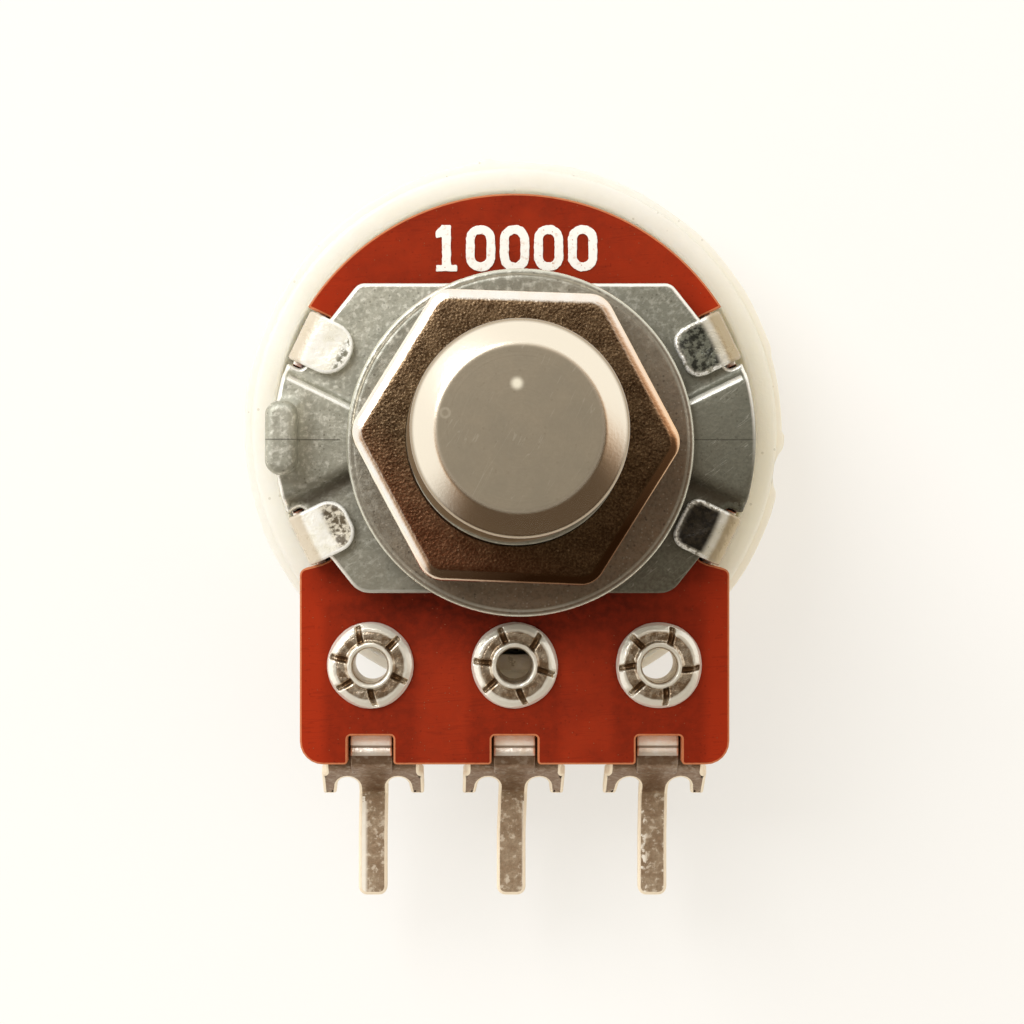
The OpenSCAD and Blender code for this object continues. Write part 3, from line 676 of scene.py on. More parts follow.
# %% The plate as a surface over its plan
def plate_shell():
    """Walls and faces between the outline and a hole under the boss. The wall's upper end follows the
    height of the plan: a point at the share t of the wall rises by t times the height there."""
    thick = FLAT_Z - FRONT_Z
    hole = ring_points(4.6, 90)
    a = np.linspace(0, np.pi / 2, 5)
    insets = np.concatenate([[0.07], 0.05 * (1 - np.sin(a)), [0.0], 0.13 * (1 - np.cos(a)), [0.16]])
    levels = np.concatenate([[0], 0.05 * (1 - np.cos(a)), [0.6], thick - 0.13 * (1 - np.sin(a)), [thick]])
    outline = dense(casting_outline, 0.12)
    loops = [outline, hole[::-1]]
    verts, faces, rims, ends, start = [], [], [], [], 0
    for loop, scale in zip(loops, (1, 0)):
        stack = np.stack([inset(loop, d * scale) for d in insets])
        k, n = stack.shape[:2]
        verts.append(np.dstack([stack, np.repeat(levels[:, None], n, 1)]).reshape(-1, 3))
        faces.append(quads(k, n) + start)
        rims.append(np.repeat(np.r_[0, 0.4 * np.ones(k - 6), 0.7, 1, 1, 0.6, 0], n) * scale)
        ends.append((stack[0], stack[-1], start, start + (k - 1) * n))
        start += k * n
    top = filled([e[1] for e in ends], plan_points)
    numbers = [e[3] + np.arange(len(e[1])) for e in ends]
    numbers = np.concatenate([*numbers, start + np.arange(len(plan_points))])
    faces.append(numbers[top])
    verts.append(np.column_stack([plan_points, np.full(len(plan_points), thick)]))
    d = wing_inside(*plan_points.T)
    # the rim value is 1 on the upper crests for a painted highlight, and negative for painted shade under
    # the lower ones
    crest = np.clip(1.9 * bell(d - 0.1, 0.08), 0, 1)
    rims.append(np.where(plan_points[:, 1] > 0, crest, -bell(d + 0.2, 0.35)))
    low = filled([e[0] for e in ends], np.zeros((0, 2)))
    numbers = np.concatenate([e[2] + np.arange(len(e[0])) for e in ends])
    faces.append(numbers[low][:, ::-1])
    verts = np.concatenate(verts)
    share = np.clip(verts[:, 2] / thick, 0, 1) ** 2 * (3 - 2 * np.clip(verts[:, 2] / thick, 0, 1))
    verts[:, 2] += FRONT_Z + share * casting_rise(verts[:, 0], verts[:, 1])
    return verts, faces, np.concatenate(rims)


def lug_shell():
    """The lug that keeps the part from turning in its panel: a block with round ends, drafted so that
    its sides lean in by 0.06 mm over their height, and crowned a little."""
    flat = stamped(rounded(box(-8.45, -1.3, -7.35, 1.3), 0.5, 8), (), 1.75, 0.3, 0.02, steps=6)

    def draft(x, y, z):
        lean = 1 - 0.05 * z / 1.75
        return -7.9 + (x + 7.9) * lean, y * lean, FLAT_Z + z - 0.05 - 0.02 * (y / 1.3) ** 2

    verts, faces, rim = moved(flat, draft)
    return verts, faces, 0.2 * rim


casting_shell = join(plate_shell(), lathe(bushing_profile, 144, thread, closed=True), lug_shell())
print("casting:", len(casting_shell[0]), "points")

# %% Finish of the casting
def zinc_finish():
    """Dull grey zinc: cloudy dark and light patches, whitish mottling, the grain of the mould, specks and
    brown round the mouth. Painted shade turns it brown towards the lower right and a darker grey-green
    towards the right, away from the lamp; the upper crests carry a painted highlight on their worn
    edges, and the lower ones a band of painted shade."""
    look = Finish("zinc_casting")
    cloud = look.use(PATCHES, Scale=1.3, Softness=0.4)
    fine = look.use(PATCHES, Scale=8.0, Level=0.52, Softness=0.35)
    mottle = look.use(PATCHES, Scale=5.0, Level=0.58, Softness=0.22)
    pits = look.use(SPECKS, Scale=6.0, Size=0.22, Share=0.3)
    wear = look.use(WEAR, Rim=look.rim(), Scale=3.0, Roughness=0.35, Amount=0.6)
    scratch = look.use(SCRATCHES, Scale=4.5, Angle=0.9, Width=0.008)
    # painted shade: 0 at the upper left, towards the lamp, and 1 at the lower right
    across = look.slant((0.6, -0.8), -9.0, 7.0)
    _, y, z = look.xyz()
    radius = look.radius()
    bushing = ramp(z, 16.0, 16.5, smooth=False)
    seam = abs(y + 0.06) < 0.022
    seam = seam * (radius > 5.95)
    # painted shade: darker and greener towards the right, away from the lamp
    right = look.slant((0.97, 0.25), -1.0, 8.0)
    look.colour = blend(across, (208, 207, 190), (94, 82, 65))
    look.over(right * 0.45, (96, 104, 92))
    look.over(cloud * 0.35, (116, 118, 104))
    look.over(fine * 0.35, (150, 148, 132))
    # whitish mottling, faded out under the painted shade towards the lower right
    look.over(mottle * calc("SUBTRACT", 0.8, across, clamp=True), (246, 244, 230))
    look.over(pits * 0.4, (80, 76, 62))
    look.over(scratch * 0.25, (214, 212, 200))
    look.over(seam * 0.6, (62, 60, 50))
    # painted highlight: worn crests painted bright except towards the lower right, away from the lamp
    toward_lamp = look.slant((0.4, -0.9), 4.2, 1.2)
    edge = wear * toward_lamp
    # painted shade: brown under the lower crests, where the rim value is negative
    dirt_and_painted_shade = calc("MULTIPLY", look.rim(), -0.75, clamp=True)
    look.over(dirt_and_painted_shade, (74, 62, 44))
    look.over(edge, (255, 253, 244))
    look.over(bushing, (108, 86, 58))
    rough = lerp(edge, lerp(fine, 0.5, 0.4), 0.25)
    look.feed(Roughness=rough, Metallic=0.5)
    look.relief(look.use(GRAIN, Scale=2.2), 0.02)
    look.relief(look.use(GRAIN, Scale=12.0, Cells=0.4), 0.008)
    return look.material


put("casting", casting_shell, zinc_finish(), "housing", ["bushing_plate"])

# %% [markdown]
# ## Nut and washer
# The nut is pressed and plated: rounded corners, a broad soft edge that catches the light, and a face
# that stays coarse under its plating. The washer is a plain ring that has dropped against one side
# of the bushing. A bevel modifier would also round them, but the outline helpers give the nut's
# broad edge and its fine one in the same surface.

# %% Nut
NUT_FLATS, NUT_TURN = 9.7, -2.0


def nut_shell():
    """Hexagon whose corners lie at flats / (2 cos 30), rounded, with a hole whose mouth is wider than
    the thread. The outer face is crowned by 0.04 mm between its middle and its edge. The edge is an
    ellipse in section, 0.5 mm wide; its height is 0.21 mm, and up to 0.56 mm on the lower left flat,
    where the nut was pressed deeper."""
    corner = NUT_FLATS / 2 / math.cos(math.pi / 6)
    corners = ring_points(corner, 6, start=math.radians(NUT_TURN))
    outline = rounded(corners, 0.85, 8)
    high = NUT_Z - WASHER_Z
    shell = stamped(outline, [ring_points(3.6, 96)], high, 0.5, 0.12, steps=12, mouth=0.12)
    low = WASHER_Z + 0.05
    section = [[3.3, low], [3.7, low], [3.7, NUT_Z - 0.3], [3.5, NUT_Z - 0.34], [3.3, NUT_Z - 0.6]]
    bore = lathe(section, 96, closed=True)

    def crown(x, y, z):
        fall = 0.04 * np.clip((np.hypot(x, y) - 3.8) / 1.4, 0, 1) ** 2 * (z > 1)
        return x, y, z + WASHER_Z - fall

    verts, faces, rim = shell
    turn = np.degrees(np.arctan2(verts[:, 1], verts[:, 0])) % 360
    scale = 0.42 + 0.7 * bell(turn - 212, 32)
    verts[:, 2] = np.where(verts[:, 2] > high - 0.5, high - scale * (high - verts[:, 2]), verts[:, 2])
    soft = np.clip((high - verts[:, 2]) / 0.025, 0, 1)
    return join(moved((verts, faces, rim * soft), crown), bore)


def nickel_finish():
    """Plated steel over a fine pressed face that has gone dark brown, with specks; the plating is
    still bright on the rounded edges. A painted copper reflection tints the top edge towards the lower
    right and the face towards the lower left, and painted shade darkens the top edge and the face on
    the lower flats."""
    look = Finish("nut_nickel")
    cloud = look.use(PATCHES, Scale=1.6, Softness=0.4)
    pits = look.use(SPECKS, Scale=9.0, Size=0.3, Share=0.4)
    dots = look.use(SPECKS, Scale=7.0, Size=0.2, Share=0.3)
    fleck = look.use(SPECKS, Scale=3.0, Size=0.1, Share=0.3)
    bright = look.use(WEAR, Rim=look.rim(), Scale=5.0, Roughness=0.5, Amount=0.7)
    grit = look.use(PATCHES, Scale=13.0, Level=0.55, Softness=0.25)
    face = blend(cloud, (100, 78, 55), (130, 106, 78))
    face = blend(grit * 0.5, face, (206, 180, 144))
    face = blend(pits * 0.5, face, (62, 42, 24))
    face = blend(dots * 0.5, face, (214, 184, 142))
    face = blend(fleck * 0.6, face, (244, 220, 184))
    edge = blend(cloud, (255, 244, 228), (255, 252, 242))
    height = look.xyz()[2]
    brow = ramp(height, NUT_Z - 0.7, NUT_Z - 0.4, smooth=False)
    # painted reflection: the top edge turns copper towards the lower right
    edge = blend(brow * look.slant((0.8, -0.6), -1.5, 4.0), edge, (252, 212, 172))
    edge = blend(brow, (226, 216, 200), edge)
    # painted shade: the top edge and face darken to brown on the lower flats
    low = brow * look.slant((0.45, -0.9), 2.2, 4.4)
    # painted reflection: a copper tint on the face towards the lower left
    face = blend(look.slant((-0.6, -0.8), 2.2, 4.4) * 0.5, face, (168, 98, 66))
    edge = blend(low * 0.94, edge, (104, 70, 42))
    face = blend(low * 0.2, face, (84, 52, 28))
    look.colour = blend(bright, face, edge)
    rough = lerp(bright, lerp(cloud, 0.28, 0.36), 0.14)
    look.feed(Roughness=rough, Metallic=1.0)
    grain = look.use(GRAIN, Scale=16.0, Cells=0.5) * (1.0 - bright * 0.8)
    look.relief(grain, 0.016)
    return look.material


put("nut", nut_shell(), nickel_finish(), "housing", ["mounting_nut"])

# %% Washer
WASHER_R, WASHER_HOLE = 5.9, 3.8
WASHER_SHIFT = 0.24 * np.array([math.cos(math.radians(-42)), math.sin(math.radians(-42))])


def washer_shell():
    """Ring of 0.5 mm with a rolled-over edge on the punch side and a sharper one below; its thickness
    is nearly even, with a dishing of 0.02 mm. The rim value is 1 on the rounded edge and on a fine
    line 0.17 mm inside it, where the punch rubbed."""
    section = rounded(box(WASHER_HOLE, 0.0, WASHER_R, 0.5), [0.05, 0.05, 0.14, 0.12], 6)

    def dish(r, z, a):
        groove = 0.03 * bell(r - 5.66, 0.03) * (z > 0.4)
        return r, z + FACE_Z - groove - 0.02 * (r > 5) * (z > 0.2) * (0.5 + 0.5 * np.cos(a * 2 + 1))

    verts, faces, _ = lathe(dense(section, 0.045), 160, dish, closed=True, centre=WASHER_SHIFT)
    r = np.hypot(*(verts[:, :2] - WASHER_SHIFT).T)
    top = verts[:, 2] > FACE_Z + 0.3
    rim = climb(r, 5.79, 0.05) + 0.75 * bell(r - 5.7, 0.035)
    return verts, faces, np.clip(rim, 0, 1) * top


def washer_finish():
    """Zinc-plated sheet: dull grey-green towards the upper left and brown towards the lower right as
    painted shade, with a whitish smear and darker mottling that follow that shade, fine specks and a
    bright rim."""
    look = Finish("washer_zinc")
    cloud = look.use(PATCHES, Scale=0.8, Softness=0.5)
    fine = look.use(PATCHES, Scale=6.0, Softness=0.4)
    dots = look.use(SPECKS, Scale=8.0, Size=0.24, Share=0.35)
    pits = look.use(SPECKS, Scale=5.0, Size=0.2, Share=0.3)
    # painted shade: 0 at the upper left, towards the lamp, and 1 at the lower right
    across = look.slant((0.6, -0.8), -6.0, 4.5)
    smear = look.use(PATCHES, Scale=3.4, Level=0.56, Softness=0.2)
    look.colour = blend(across, (168, 170, 156), (150, 127, 104))
    look.over(cloud * 0.4, (104, 96, 84))
    # whitish smear, faded out under the painted shade towards the lower right
    look.over(smear * calc("SUBTRACT", 0.7, across, clamp=True), (240, 238, 224))
    look.over(fine * 0.25, (150, 146, 132))
    # darker mottling, shown only under the painted shade towards the lower right
    mottle = look.use(PATCHES, Scale=9.0, Level=0.54, Softness=0.16)
    look.over(mottle * (across * 0.4), (100, 84, 68))
    look.over(dots * 0.45, (190, 180, 162))
    look.over(pits * 0.5, (66, 56, 46))
    rim = look.rim()
    look.over(rim * 0.9, (226, 224, 208))
    look.feed(Roughness=lerp(rim, lerp(fine, 0.45, 0.38), 0.25), Metallic=0.7)
    look.relief(look.use(GRAIN, Scale=10.0, Cells=0.3), 0.014)
    return look.material


put("washer", washer_shell(), washer_finish(), "housing", ["mounting_washer"])

# %% [markdown]
# ## Shaft
# The shaft is turned from bar: a 6 mm end with a chamfer, a 5 mm journal in the bushing, a groove for
# the retaining ring, and a tenon with two flats that drives the rotor. One profile round the axis
# makes it all, and the tenon's flats come from cutting its radius off at 1.5 mm from the middle
# plane. The free end keeps the faint rings of its facing cut.

# %% Shaft
ROTOR_Z, HUB_Z = 5.18, 2.58


def shaft_profile():
    """Profile from the staked end to the free end. Each shoulder has a small radius."""
    points = [
        [0, HUB_Z - 0.3], [2.3, HUB_Z - 0.3], [2.3, HUB_Z], [2.0, HUB_Z], [2.0, ROTOR_Z],
        [2.5, ROTOR_Z], [2.5, 6.06], [2.1, 6.06], [2.1, 6.45], [2.5, 6.45],
        [2.5, 17.0], [3.0, 17.0], [3.0, END_Z - 0.46], [2.3, END_Z], [0, END_Z],
    ]
    radii = [0, 0.1, 0.02, 0.02, 0.02, 0.05, 0.02, 0.02, 0.02, 0.02, 0.02, 0.08, 0.2, 0.4, 0]
    return rounded(points, radii, 5, closed=False)


def tenon(r, z, a):
    """Two flats: the radius is at most 1.5 / |sin a| over the tenon's length, which gives two planes
    square to Y."""
    flat = 1.5 / np.maximum(np.abs(np.sin(a)), 1e-6)
    on = (z > HUB_Z + 0.01) & (z < ROTOR_Z - 0.01)
    return np.where(on, np.minimum(r, flat), r), z


def shaft_finish():
    """Turned metal, dull grey with a brown cast: faint rings of the tool, clouds from handling, fine
    specks, a few short scratches, a small ring mark and a painted glint on the end."""
    look = Finish("shaft_metal")
    cloud = look.use(PATCHES, Scale=1.1, Softness=0.6)
    fine = look.use(PATCHES, Scale=9.0, Softness=0.5)
    rings = look.use(TURNING, Pitch=0.06)
    specks = look.use(SPECKS, Scale=6.0, Size=0.2, Share=0.2)
    scratch = look.use(SCRATCHES, Scale=4.5, Angle=0.5, Width=0.006)
    radius = look.radius()
    skirt = ramp(radius, 2.2, 2.36)
    # painted glint: a small bright, matt spot on the end where the lamp's glint falls
    away = look.distance((-0.08, 1.21, END_Z))
    painted_glint = ramp(away, 0.24, 0.06)
    dent = look.distance((-2.02, 0.41, END_Z))
    dent = ramp(abs(dent - 0.12), 0.05, 0.02, smooth=False)
    look.colour = blend(cloud, (154, 144, 125), (170, 158, 137))
    look.over(fine * 0.3, (150, 138, 118))
    look.over(specks * 0.15, (118, 104, 84))
    look.over(scratch * 0.15, (226, 218, 200))
    look.over(dent * 0.2, (236, 226, 204))
    side = ramp(radius, 2.86, 2.98)
    look.over(skirt, blend(side, (250, 238, 216), (166, 151, 130)))
    look.over(painted_glint, (228, 220, 200))
    rough = lerp(skirt, lerp(cloud, 0.42, 0.36), 0.2)
    look.feed(Roughness=rough, Metallic=lerp(painted_glint, lerp(skirt, 0.5, 1.0), 0.0))
    look.relief(rings, 0.0015)
    look.relief(look.use(GRAIN, Scale=12.0, Cells=0.2), 0.003)
    return look.material


shaft_shell = lathe(shaft_profile(), 128, tenon)
put("shaft_bar", shaft_shell, shaft_finish(), "shaft_assembly", ["shaft"])

# %% [markdown]
# ## Board and its printed number
# The board is punched from red-brown phenolic paper. Its head is round, four notches let the tabs
# through, and the tail has three notches for the pins. A punched edge breaks paler than the face.
# Behind the tail lie the sheet lugs of the terminals; where they block the light that passes through
# the board, darker strips are painted on as shade. The number is screen print: thin ink with slightly
# ragged edges, so its outlines are moved in and out by a fine wave before they get their thickness.

# %% Board
BOARD_T, HEAD_R, SIDE_R, TAIL_HALF, TAIL_Y, PITCH, EYELET_Y = 1.2, 8.5, 8.1, 7.45, -11.3, 5.0, -7.85


def board_outline():
    """Counter-clockwise from the right shoulder of the head: the head's arc, the notches of the upper
    tabs, the narrower sides, the notches of the lower tabs, which also make the tail's shoulders, the
    tail, and its three notches."""
    inner, half = 7.5, 1.0
    u, v = TAB_U, TAB_V
    upper_out = u * math.sqrt(HEAD_R**2 - half**2) + v * half
    upper_in = [u * inner + v * half, u * inner - v * half]
    side = u * math.sqrt(SIDE_R**2 - half**2) - v * half
    low_in, low_out = upper_in[1] * [1, -1], upper_in[0] * [1, -1]
    shoulder = u * [1, -1] * 7.9 + v * [1, -1] * half
    edge = np.array([TAIL_HALF, -4.55])
    head = arc_points(HEAD_R, bearing(upper_out), 90, 36)
    flank = arc_points(SIDE_R, bearing(side * [1, -1]), bearing(side), 18)
    notches = []
    for x in (PITCH, 0, -PITCH):
        notches += [[x + 0.8, TAIL_Y], [x + 0.8, TAIL_Y + 1], [x - 0.8, TAIL_Y + 1], [x - 0.8, TAIL_Y]]
    right = np.concatenate([[edge, shoulder, low_out, low_in], flank, upper_in[::-1], head])
    radii_right = np.concatenate([[0.25, 0.1, 0.15, 0.15], np.zeros(18), [0.15, 0.15], np.zeros(36)])
    left, radii_left = (right * [-1, 1])[::-1], radii_right[::-1]
    tail = np.array([[-TAIL_HALF, TAIL_Y], *notches[::-1], [TAIL_HALF, TAIL_Y]])
    radii_tail = np.concatenate([[1.0], np.full(12, 0.12), [1.0]])
    corners = np.concatenate([right, left[1:], tail])
    return rounded(corners, np.concatenate([radii_right, radii_left[1:], radii_tail]), 6)


board_edge = board_outline()
board_holes = [ring_points(3.32, 72)] + [ring_points(0.95, 32, (x, EYELET_Y)) for x in (-PITCH, 0, PITCH)]
board_shell = shifted(stamped(dense(board_edge, 0.6), board_holes, BOARD_T, 0.06, 0.04), z=BOARD_Z)
print("board outline:", len(board_edge), "points")


def phenolic_finish():
    """Red-brown laminate: cloudy resin, paper fibres, pale specks and paler punched edges. Painted shade
    darkens it in the slots beside the tabs, towards the middle below the plate, and in strips where the
    terminals' lugs lie behind it. A strip is where |x - its middle| is under about 1.65 and y is below
    the lug's top."""
    look = Finish("phenolic")
    x, y, z = look.xyz()
    # painted shade: darker strips where the lugs behind the board block the light through it
    strips = None
    for middle in (-PITCH, 0.0, PITCH):
        off = abs(x - middle)
        one = ramp(off, 1.35, 1.85, falling=True)
        strips = one if strips is None else strips | one
    below = ramp(y, -5.9, -5.5, falling=True)
    strips = strips * below
    # painted shade: darker towards the middle of the lower half, below the plate
    painted_shade_near_plate = look.radius(0.8)
    painted_shade_near_plate = ramp(painted_shade_near_plate, 8.4, 5.6)
    painted_shade_near_plate = painted_shade_near_plate * (y < 0.0)
    cloud = look.use(PATCHES, Scale=0.45, Softness=0.4)
    fine = look.use(PATCHES, Scale=3.0, Softness=0.4)
    fibre = look.use(SCRATCHES, Scale=6.0, Angle=1.5, Width=0.02)
    dust = look.use(SPECKS, Scale=7.0, Size=0.13, Share=0.22)
    dark = look.use(SPECKS, Scale=7.0, Size=0.24, Share=0.3)
    wear = look.use(WEAR, Rim=look.rim(), Scale=4.0, Roughness=0.8, Amount=0.4)
    outer = ramp(abs(x), 4.5, 7.4)
    look.colour = blend(cloud, (128, 38, 17), (152, 47, 20))
    look.over(outer * 0.6, (178, 50, 18))
    look.over(strips * 0.5, (100, 27, 10))
    look.over(painted_shade_near_plate * 0.95, (68, 18, 7))
    look.over(fine * 0.3, (166, 46, 18))
    look.over(fibre * 0.25, (110, 30, 14))
    look.over(dark * 0.3, (88, 24, 10))
    look.over(dust * 0.3, (206, 130, 92))
    look.over(wear * 0.7, (216, 140, 96))
    # painted shade: nearly black where the board shows in the slots beside the tabs
    slots = (abs(x) > 6.5) * (abs(y) < 3.1)
    slots = slots * (z > FRONT_Z - 0.03)
    look.over(slots, (44, 26, 16))
    look.feed(Roughness=lerp(fine, 0.5, 0.42), Specular_IOR_Level=0.06)
    look.relief(look.use(GRAIN, Scale=9.0, Cells=0.1), 0.006)
    return look.material


put("board", board_shell, phenolic_finish(), "housing", ["phenolic_board"])

# %% Printed number
def ragged(outline, seed):
    """Moves each point of an outline in or out by up to 0.018 mm, as the screen's threads leave it."""
    noise = np.random.default_rng(seed).normal(0, 1, len(outline))
    smooth = (noise + np.roll(noise, 1) + 0.5 * np.roll(noise, 2)) / 2.5
    return inset(outline, 0) + 0.011 * smooth[:, None] * (inset(outline, 1) - outline)


def number_shell():
    """The plain number 10000: a stem on a foot with a flag, and four noughts that are capsules with a
    capsule left out."""
    step, height, middle = 5.9 / 5, 1.6, 6.6
    wide, line = step * 0.86, step * 0.26
    figures = []
    for k in range(5):
        x = -2.95 + (k + 0.5) * step
        if k == 0:
            w, h, s = wide * 0.36, height / 2, line / 2
            foot = -h + line * 0.7
            flag = [[-w, h - line * 0.7], [-w, h - line * 1.5], [-s, h - line * 1.3]]
            stem = [[s, foot], [s, h], [-s, h], *flag, [-s, foot]]
            shape = [[-w, -h], [w, -h], [w, foot], *stem, [-w, foot]]
            outer, holes = dense(rounded(shape, 0.035, 2), 0.06), []
        else:
            w, h = wide / 2, height / 2
            outer = dense(rounded(box(-w, -h, w, h), w * 0.98, 10), 0.06)
            w, h = w - line, h - line
            holes = [dense(rounded(box(-w, -h, w, h), w * 0.96, 8), 0.06)]
        outer = ragged(outer, 10 + k)
        holes = [ragged(hole, 30 + k) for hole in holes]
        flat = stamped(outer, holes, 0.04, 0.008, 0.004, steps=1, hold=0.003)
        figures.append(shifted(flat, x, middle, FRONT_Z))
    return join(*figures)


def ink_finish():
    """White screen ink: matt, a little thin in places so that the board warms it."""
    look = Finish("print_ink")
    thin = look.use(PATCHES, Scale=6.0, Level=0.36, Softness=0.2)
    holes = look.use(SPECKS, Scale=7.0, Size=0.16, Share=0.3)
    look.colour = blend(thin, (226, 196, 176), (253, 251, 244))
    look.over(holes * 0.7, (190, 120, 96))
    look.feed(Roughness=0.65)
    look.relief(look.use(GRAIN, Scale=8.0), 0.006)
    return look.material


put("printed_number", number_shell(), ink_finish(), "housing", ["value_print"])

# %% [markdown]
# ## Rivets and terminals
# Each terminal is a tinned strip: a wide lug lies behind the board, a rivet goes through both, and
# the strip bends back to a narrow board pin. The rivet is a drawn tube whose front end was rolled
# outwards and pressed with six slots; one turned section, sunk where the slots are, gives a lip that
# stays whole around them, which separate petals would not. The strips are outlines laid along a
# bent path, which keeps the sheet's thickness and its round bends.

# %% Rivets
def rivet_shell(x, seed):
    """Tube, rolled flange and flat head. The flange's section runs from the tube over a crest and a
    shallow valley to the outer lip. Six slots are pressed into it: at the distance w from a slot's
    middle the flange sinks by 0.17 / (1 + (w / 0.09)^8) mm, between the crest and the lip only. The
    rim value is 1 on crest and lip and negative in the slots."""
    rng = np.random.default_rng(seed)
    cuts = np.array([107, 40, -28, -92, -146, 163]) + (seed > 1) * rng.uniform(-9, 9, 6) + 4 * seed
    tilts = rng.uniform(-0.25, 0.25, 6)
    crest = [[0.6, -0.1], [0.6, 0.24], [0.68, 0.42], [0.78, 0.41], [0.88, 0.32], [1.08, 0.33]]
    lip = [[1.26, 0.31], [1.42, 0.2], [1.5, 0.06], [1.5, 0.0], [1.4, -0.01], [0.9, -0.02]]
    radii = [0, 0.1, 0.08, 0.08, 0.06, 0.08, 0.1, 0.08, 0.04, 0.02, 0.02, 0]
    flange = rounded(crest + lip, radii, 3)

    def slots(r, a):
        depth = 0 * r
        for cut, tilt in zip(cuts, tilts):
            w = ((a - math.radians(cut) + np.pi) % (2 * np.pi) - np.pi + tilt * (r - 1)) * r
            depth = depth + 1 / (1 + (w / 0.09) ** 8)
        return depth

    def press(r, z, a):
        sink = 0.17 * slots(r, a)
        zone = climb(r, 0.76, 0.08) * np.clip((1.43 - r) / 0.06, 0, 1) * (z > 0.12)
        wave = 0.02 * np.sin(5 * a + seed) * np.cos(3 * a + 2 * seed)
        out = 1 + 0.022 * np.sin(4 * a + seed) * (r > 1.2) * np.clip((z + 0.02) / 0.1, 0, 1)
        return np.minimum(r * out, 1.5), FRONT_Z + 0.01 + z * (1 + wave) - sink * zone

    tube = rounded(box(0.6, 6.06, 0.93, 8.05), [0.04, 0.02, 0.02, 0.02], 3)
    head = rounded(box(0.62, 6.04, 1.38, 6.34), [0.02, 0.12, 0.04, 0.02], 5)
    front = lathe(dense(flange, 0.04), 220, press, closed=True)
    r = np.hypot(front[0][:, 0], front[0][:, 1])
    rim = climb(r, 1.12, 0.1) + np.exp(-(((r - 0.71) / 0.09) ** 4))
    cut = slots(r, np.arctan2(front[0][:, 1], front[0][:, 0])) * (r > 0.84) * (r < 1.4)
    rim = (np.clip(rim, 0, 1) - 1.5 * cut) * (front[0][:, 2] > FRONT_Z + 0.02)
    whole = join((front[0], front[1], rim), lathe(tube, 48, closed=True), lathe(head, 48, closed=True))
    return shifted(whole, x, EYELET_Y)


def rivet_finish():
    """Tinned brass, a little battered: brown in the valley and the slots, bright on crest and lip."""
    look = Finish("rivet_tin")
    smudge = look.use(PATCHES, Scale=3.0, Softness=0.25)
    bright = look.use(WEAR, Rim=look.rim(), Scale=5.0, Roughness=0.5, Amount=0.75)
    scratch = look.use(SCRATCHES, Scale=6.0, Angle=0.3, Width=0.02)
    look.colour = blend(smudge, (236, 222, 198), (164, 138, 108))
    look.over(scratch * 0.4, (250, 244, 230))
    look.over(bright, (255, 250, 236))
    look.over(calc("MULTIPLY", look.rim(), -1.0, clamp=True), (118, 90, 60))
    look.feed(Roughness=lerp(bright, 0.26, 0.16), Metallic=lerp(bright, 0.8, 0.4))
    look.relief(look.use(GRAIN, Scale=5.0), 0.03)
    return look.material


RIVET = rivet_finish()
for side, x, seed in (("left", -PITCH, 1), ("middle", 0.0, 3), ("right", PITCH, 5)):
    put(f"rivet_{side}", rivet_shell(x, seed), RIVET, "housing", [f"eyelet_{side}"])

# %% Terminals
SHEET_T, LUG_TOP, SHOULDER_Y, BEND_Y, PIN_Y, LUG_MID, PIN_MID = 0.4, -5.7, -11.35, -12.55, -16.3, 6.54, 4.5


def terminal_outline():
    """Half of the strip from the lug's top down: the lug, the horn beside the arch, the arch, and the
    pin with a blunt round tip. The other half is its mirror image."""
    arch = arc_points(0.385, 180, 0, 13, (0.9, BEND_Y + 0.33))
    tip = arc_points(0.3, 0, -90, 6, (0.215, PIN_Y + 0.3))
    lug = [[1.65, LUG_TOP], [1.65, BEND_Y + 0.95], [1.8, BEND_Y + 0.86], [1.8, BEND_Y], [1.34, BEND_Y]]
    right = np.concatenate([lug, arch[::-1], [[0.515, BEND_Y - 0.02]], tip, [[0, PIN_Y]]])
    radii = np.concatenate([[0.2, 0.08, 0.05, 0.07, 0.1], np.zeros(21)])
    right, radii = right[::-1], radii[::-1]
    left, radii_left = (right * [-1, 1])[::-1], radii[::-1]
    corners, sizes = np.concatenate([right, left[:-1]]), np.concatenate([radii, radii_left[:-1]])
    return rounded(corners, sizes, 4)


def terminal_shell(x, lean):
    """Strip along its path, and the lanced bridge that stands forward in the board's notch. Each pin
    leans a little to one side at its tip."""
    path = [[LUG_TOP + 0.3, LUG_MID], [SHOULDER_Y, LUG_MID], [BEND_Y, PIN_MID], [PIN_Y - 0.2, PIN_MID]]
    hole = ring_points(0.95, 32, (0, EYELET_Y))
    flat = stamped(terminal_outline(), [hole], SHEET_T, 0.1, 0.05, steps=4, spacing=0.11)
    strip = folded(flat, rounded(path, 0.38, 8, closed=False), SHEET_T)
    strip = moved(strip, lambda px, py, pz: (px + lean * np.clip((BEND_Y + 1 - py) / 2.5, 0, 1), py, pz))
    over = [[-10.2, 7.04], [-10.68, 7.24], [-10.76, 7.12], [-10.94, 7.25], [-11.3, 6.98]]
    down = [[-11.5, LUG_MID + 0.05], [-11.8, LUG_MID - 0.6]]
    bridge_path = rounded(over + down, [0, 0.05, 0.05, 0.16, 0.2, 0.14, 0], 6, closed=False)
    bridge = rounded(box(-0.72, -11.62, 0.72, -10.38), 0.06, 3)
    bridge = stamped(bridge, (), SHEET_T, 0.06, 0.05, spacing=0.05)
    verts, faces, rim = folded(bridge, bridge_path, SHEET_T)
    bridge = verts, faces, rim * (verts[:, 1] > -11.0)
    return shifted(join(strip, bridge), x)


CREASE = 10.73  # how far the bridge's crease lies below the shaft's axis


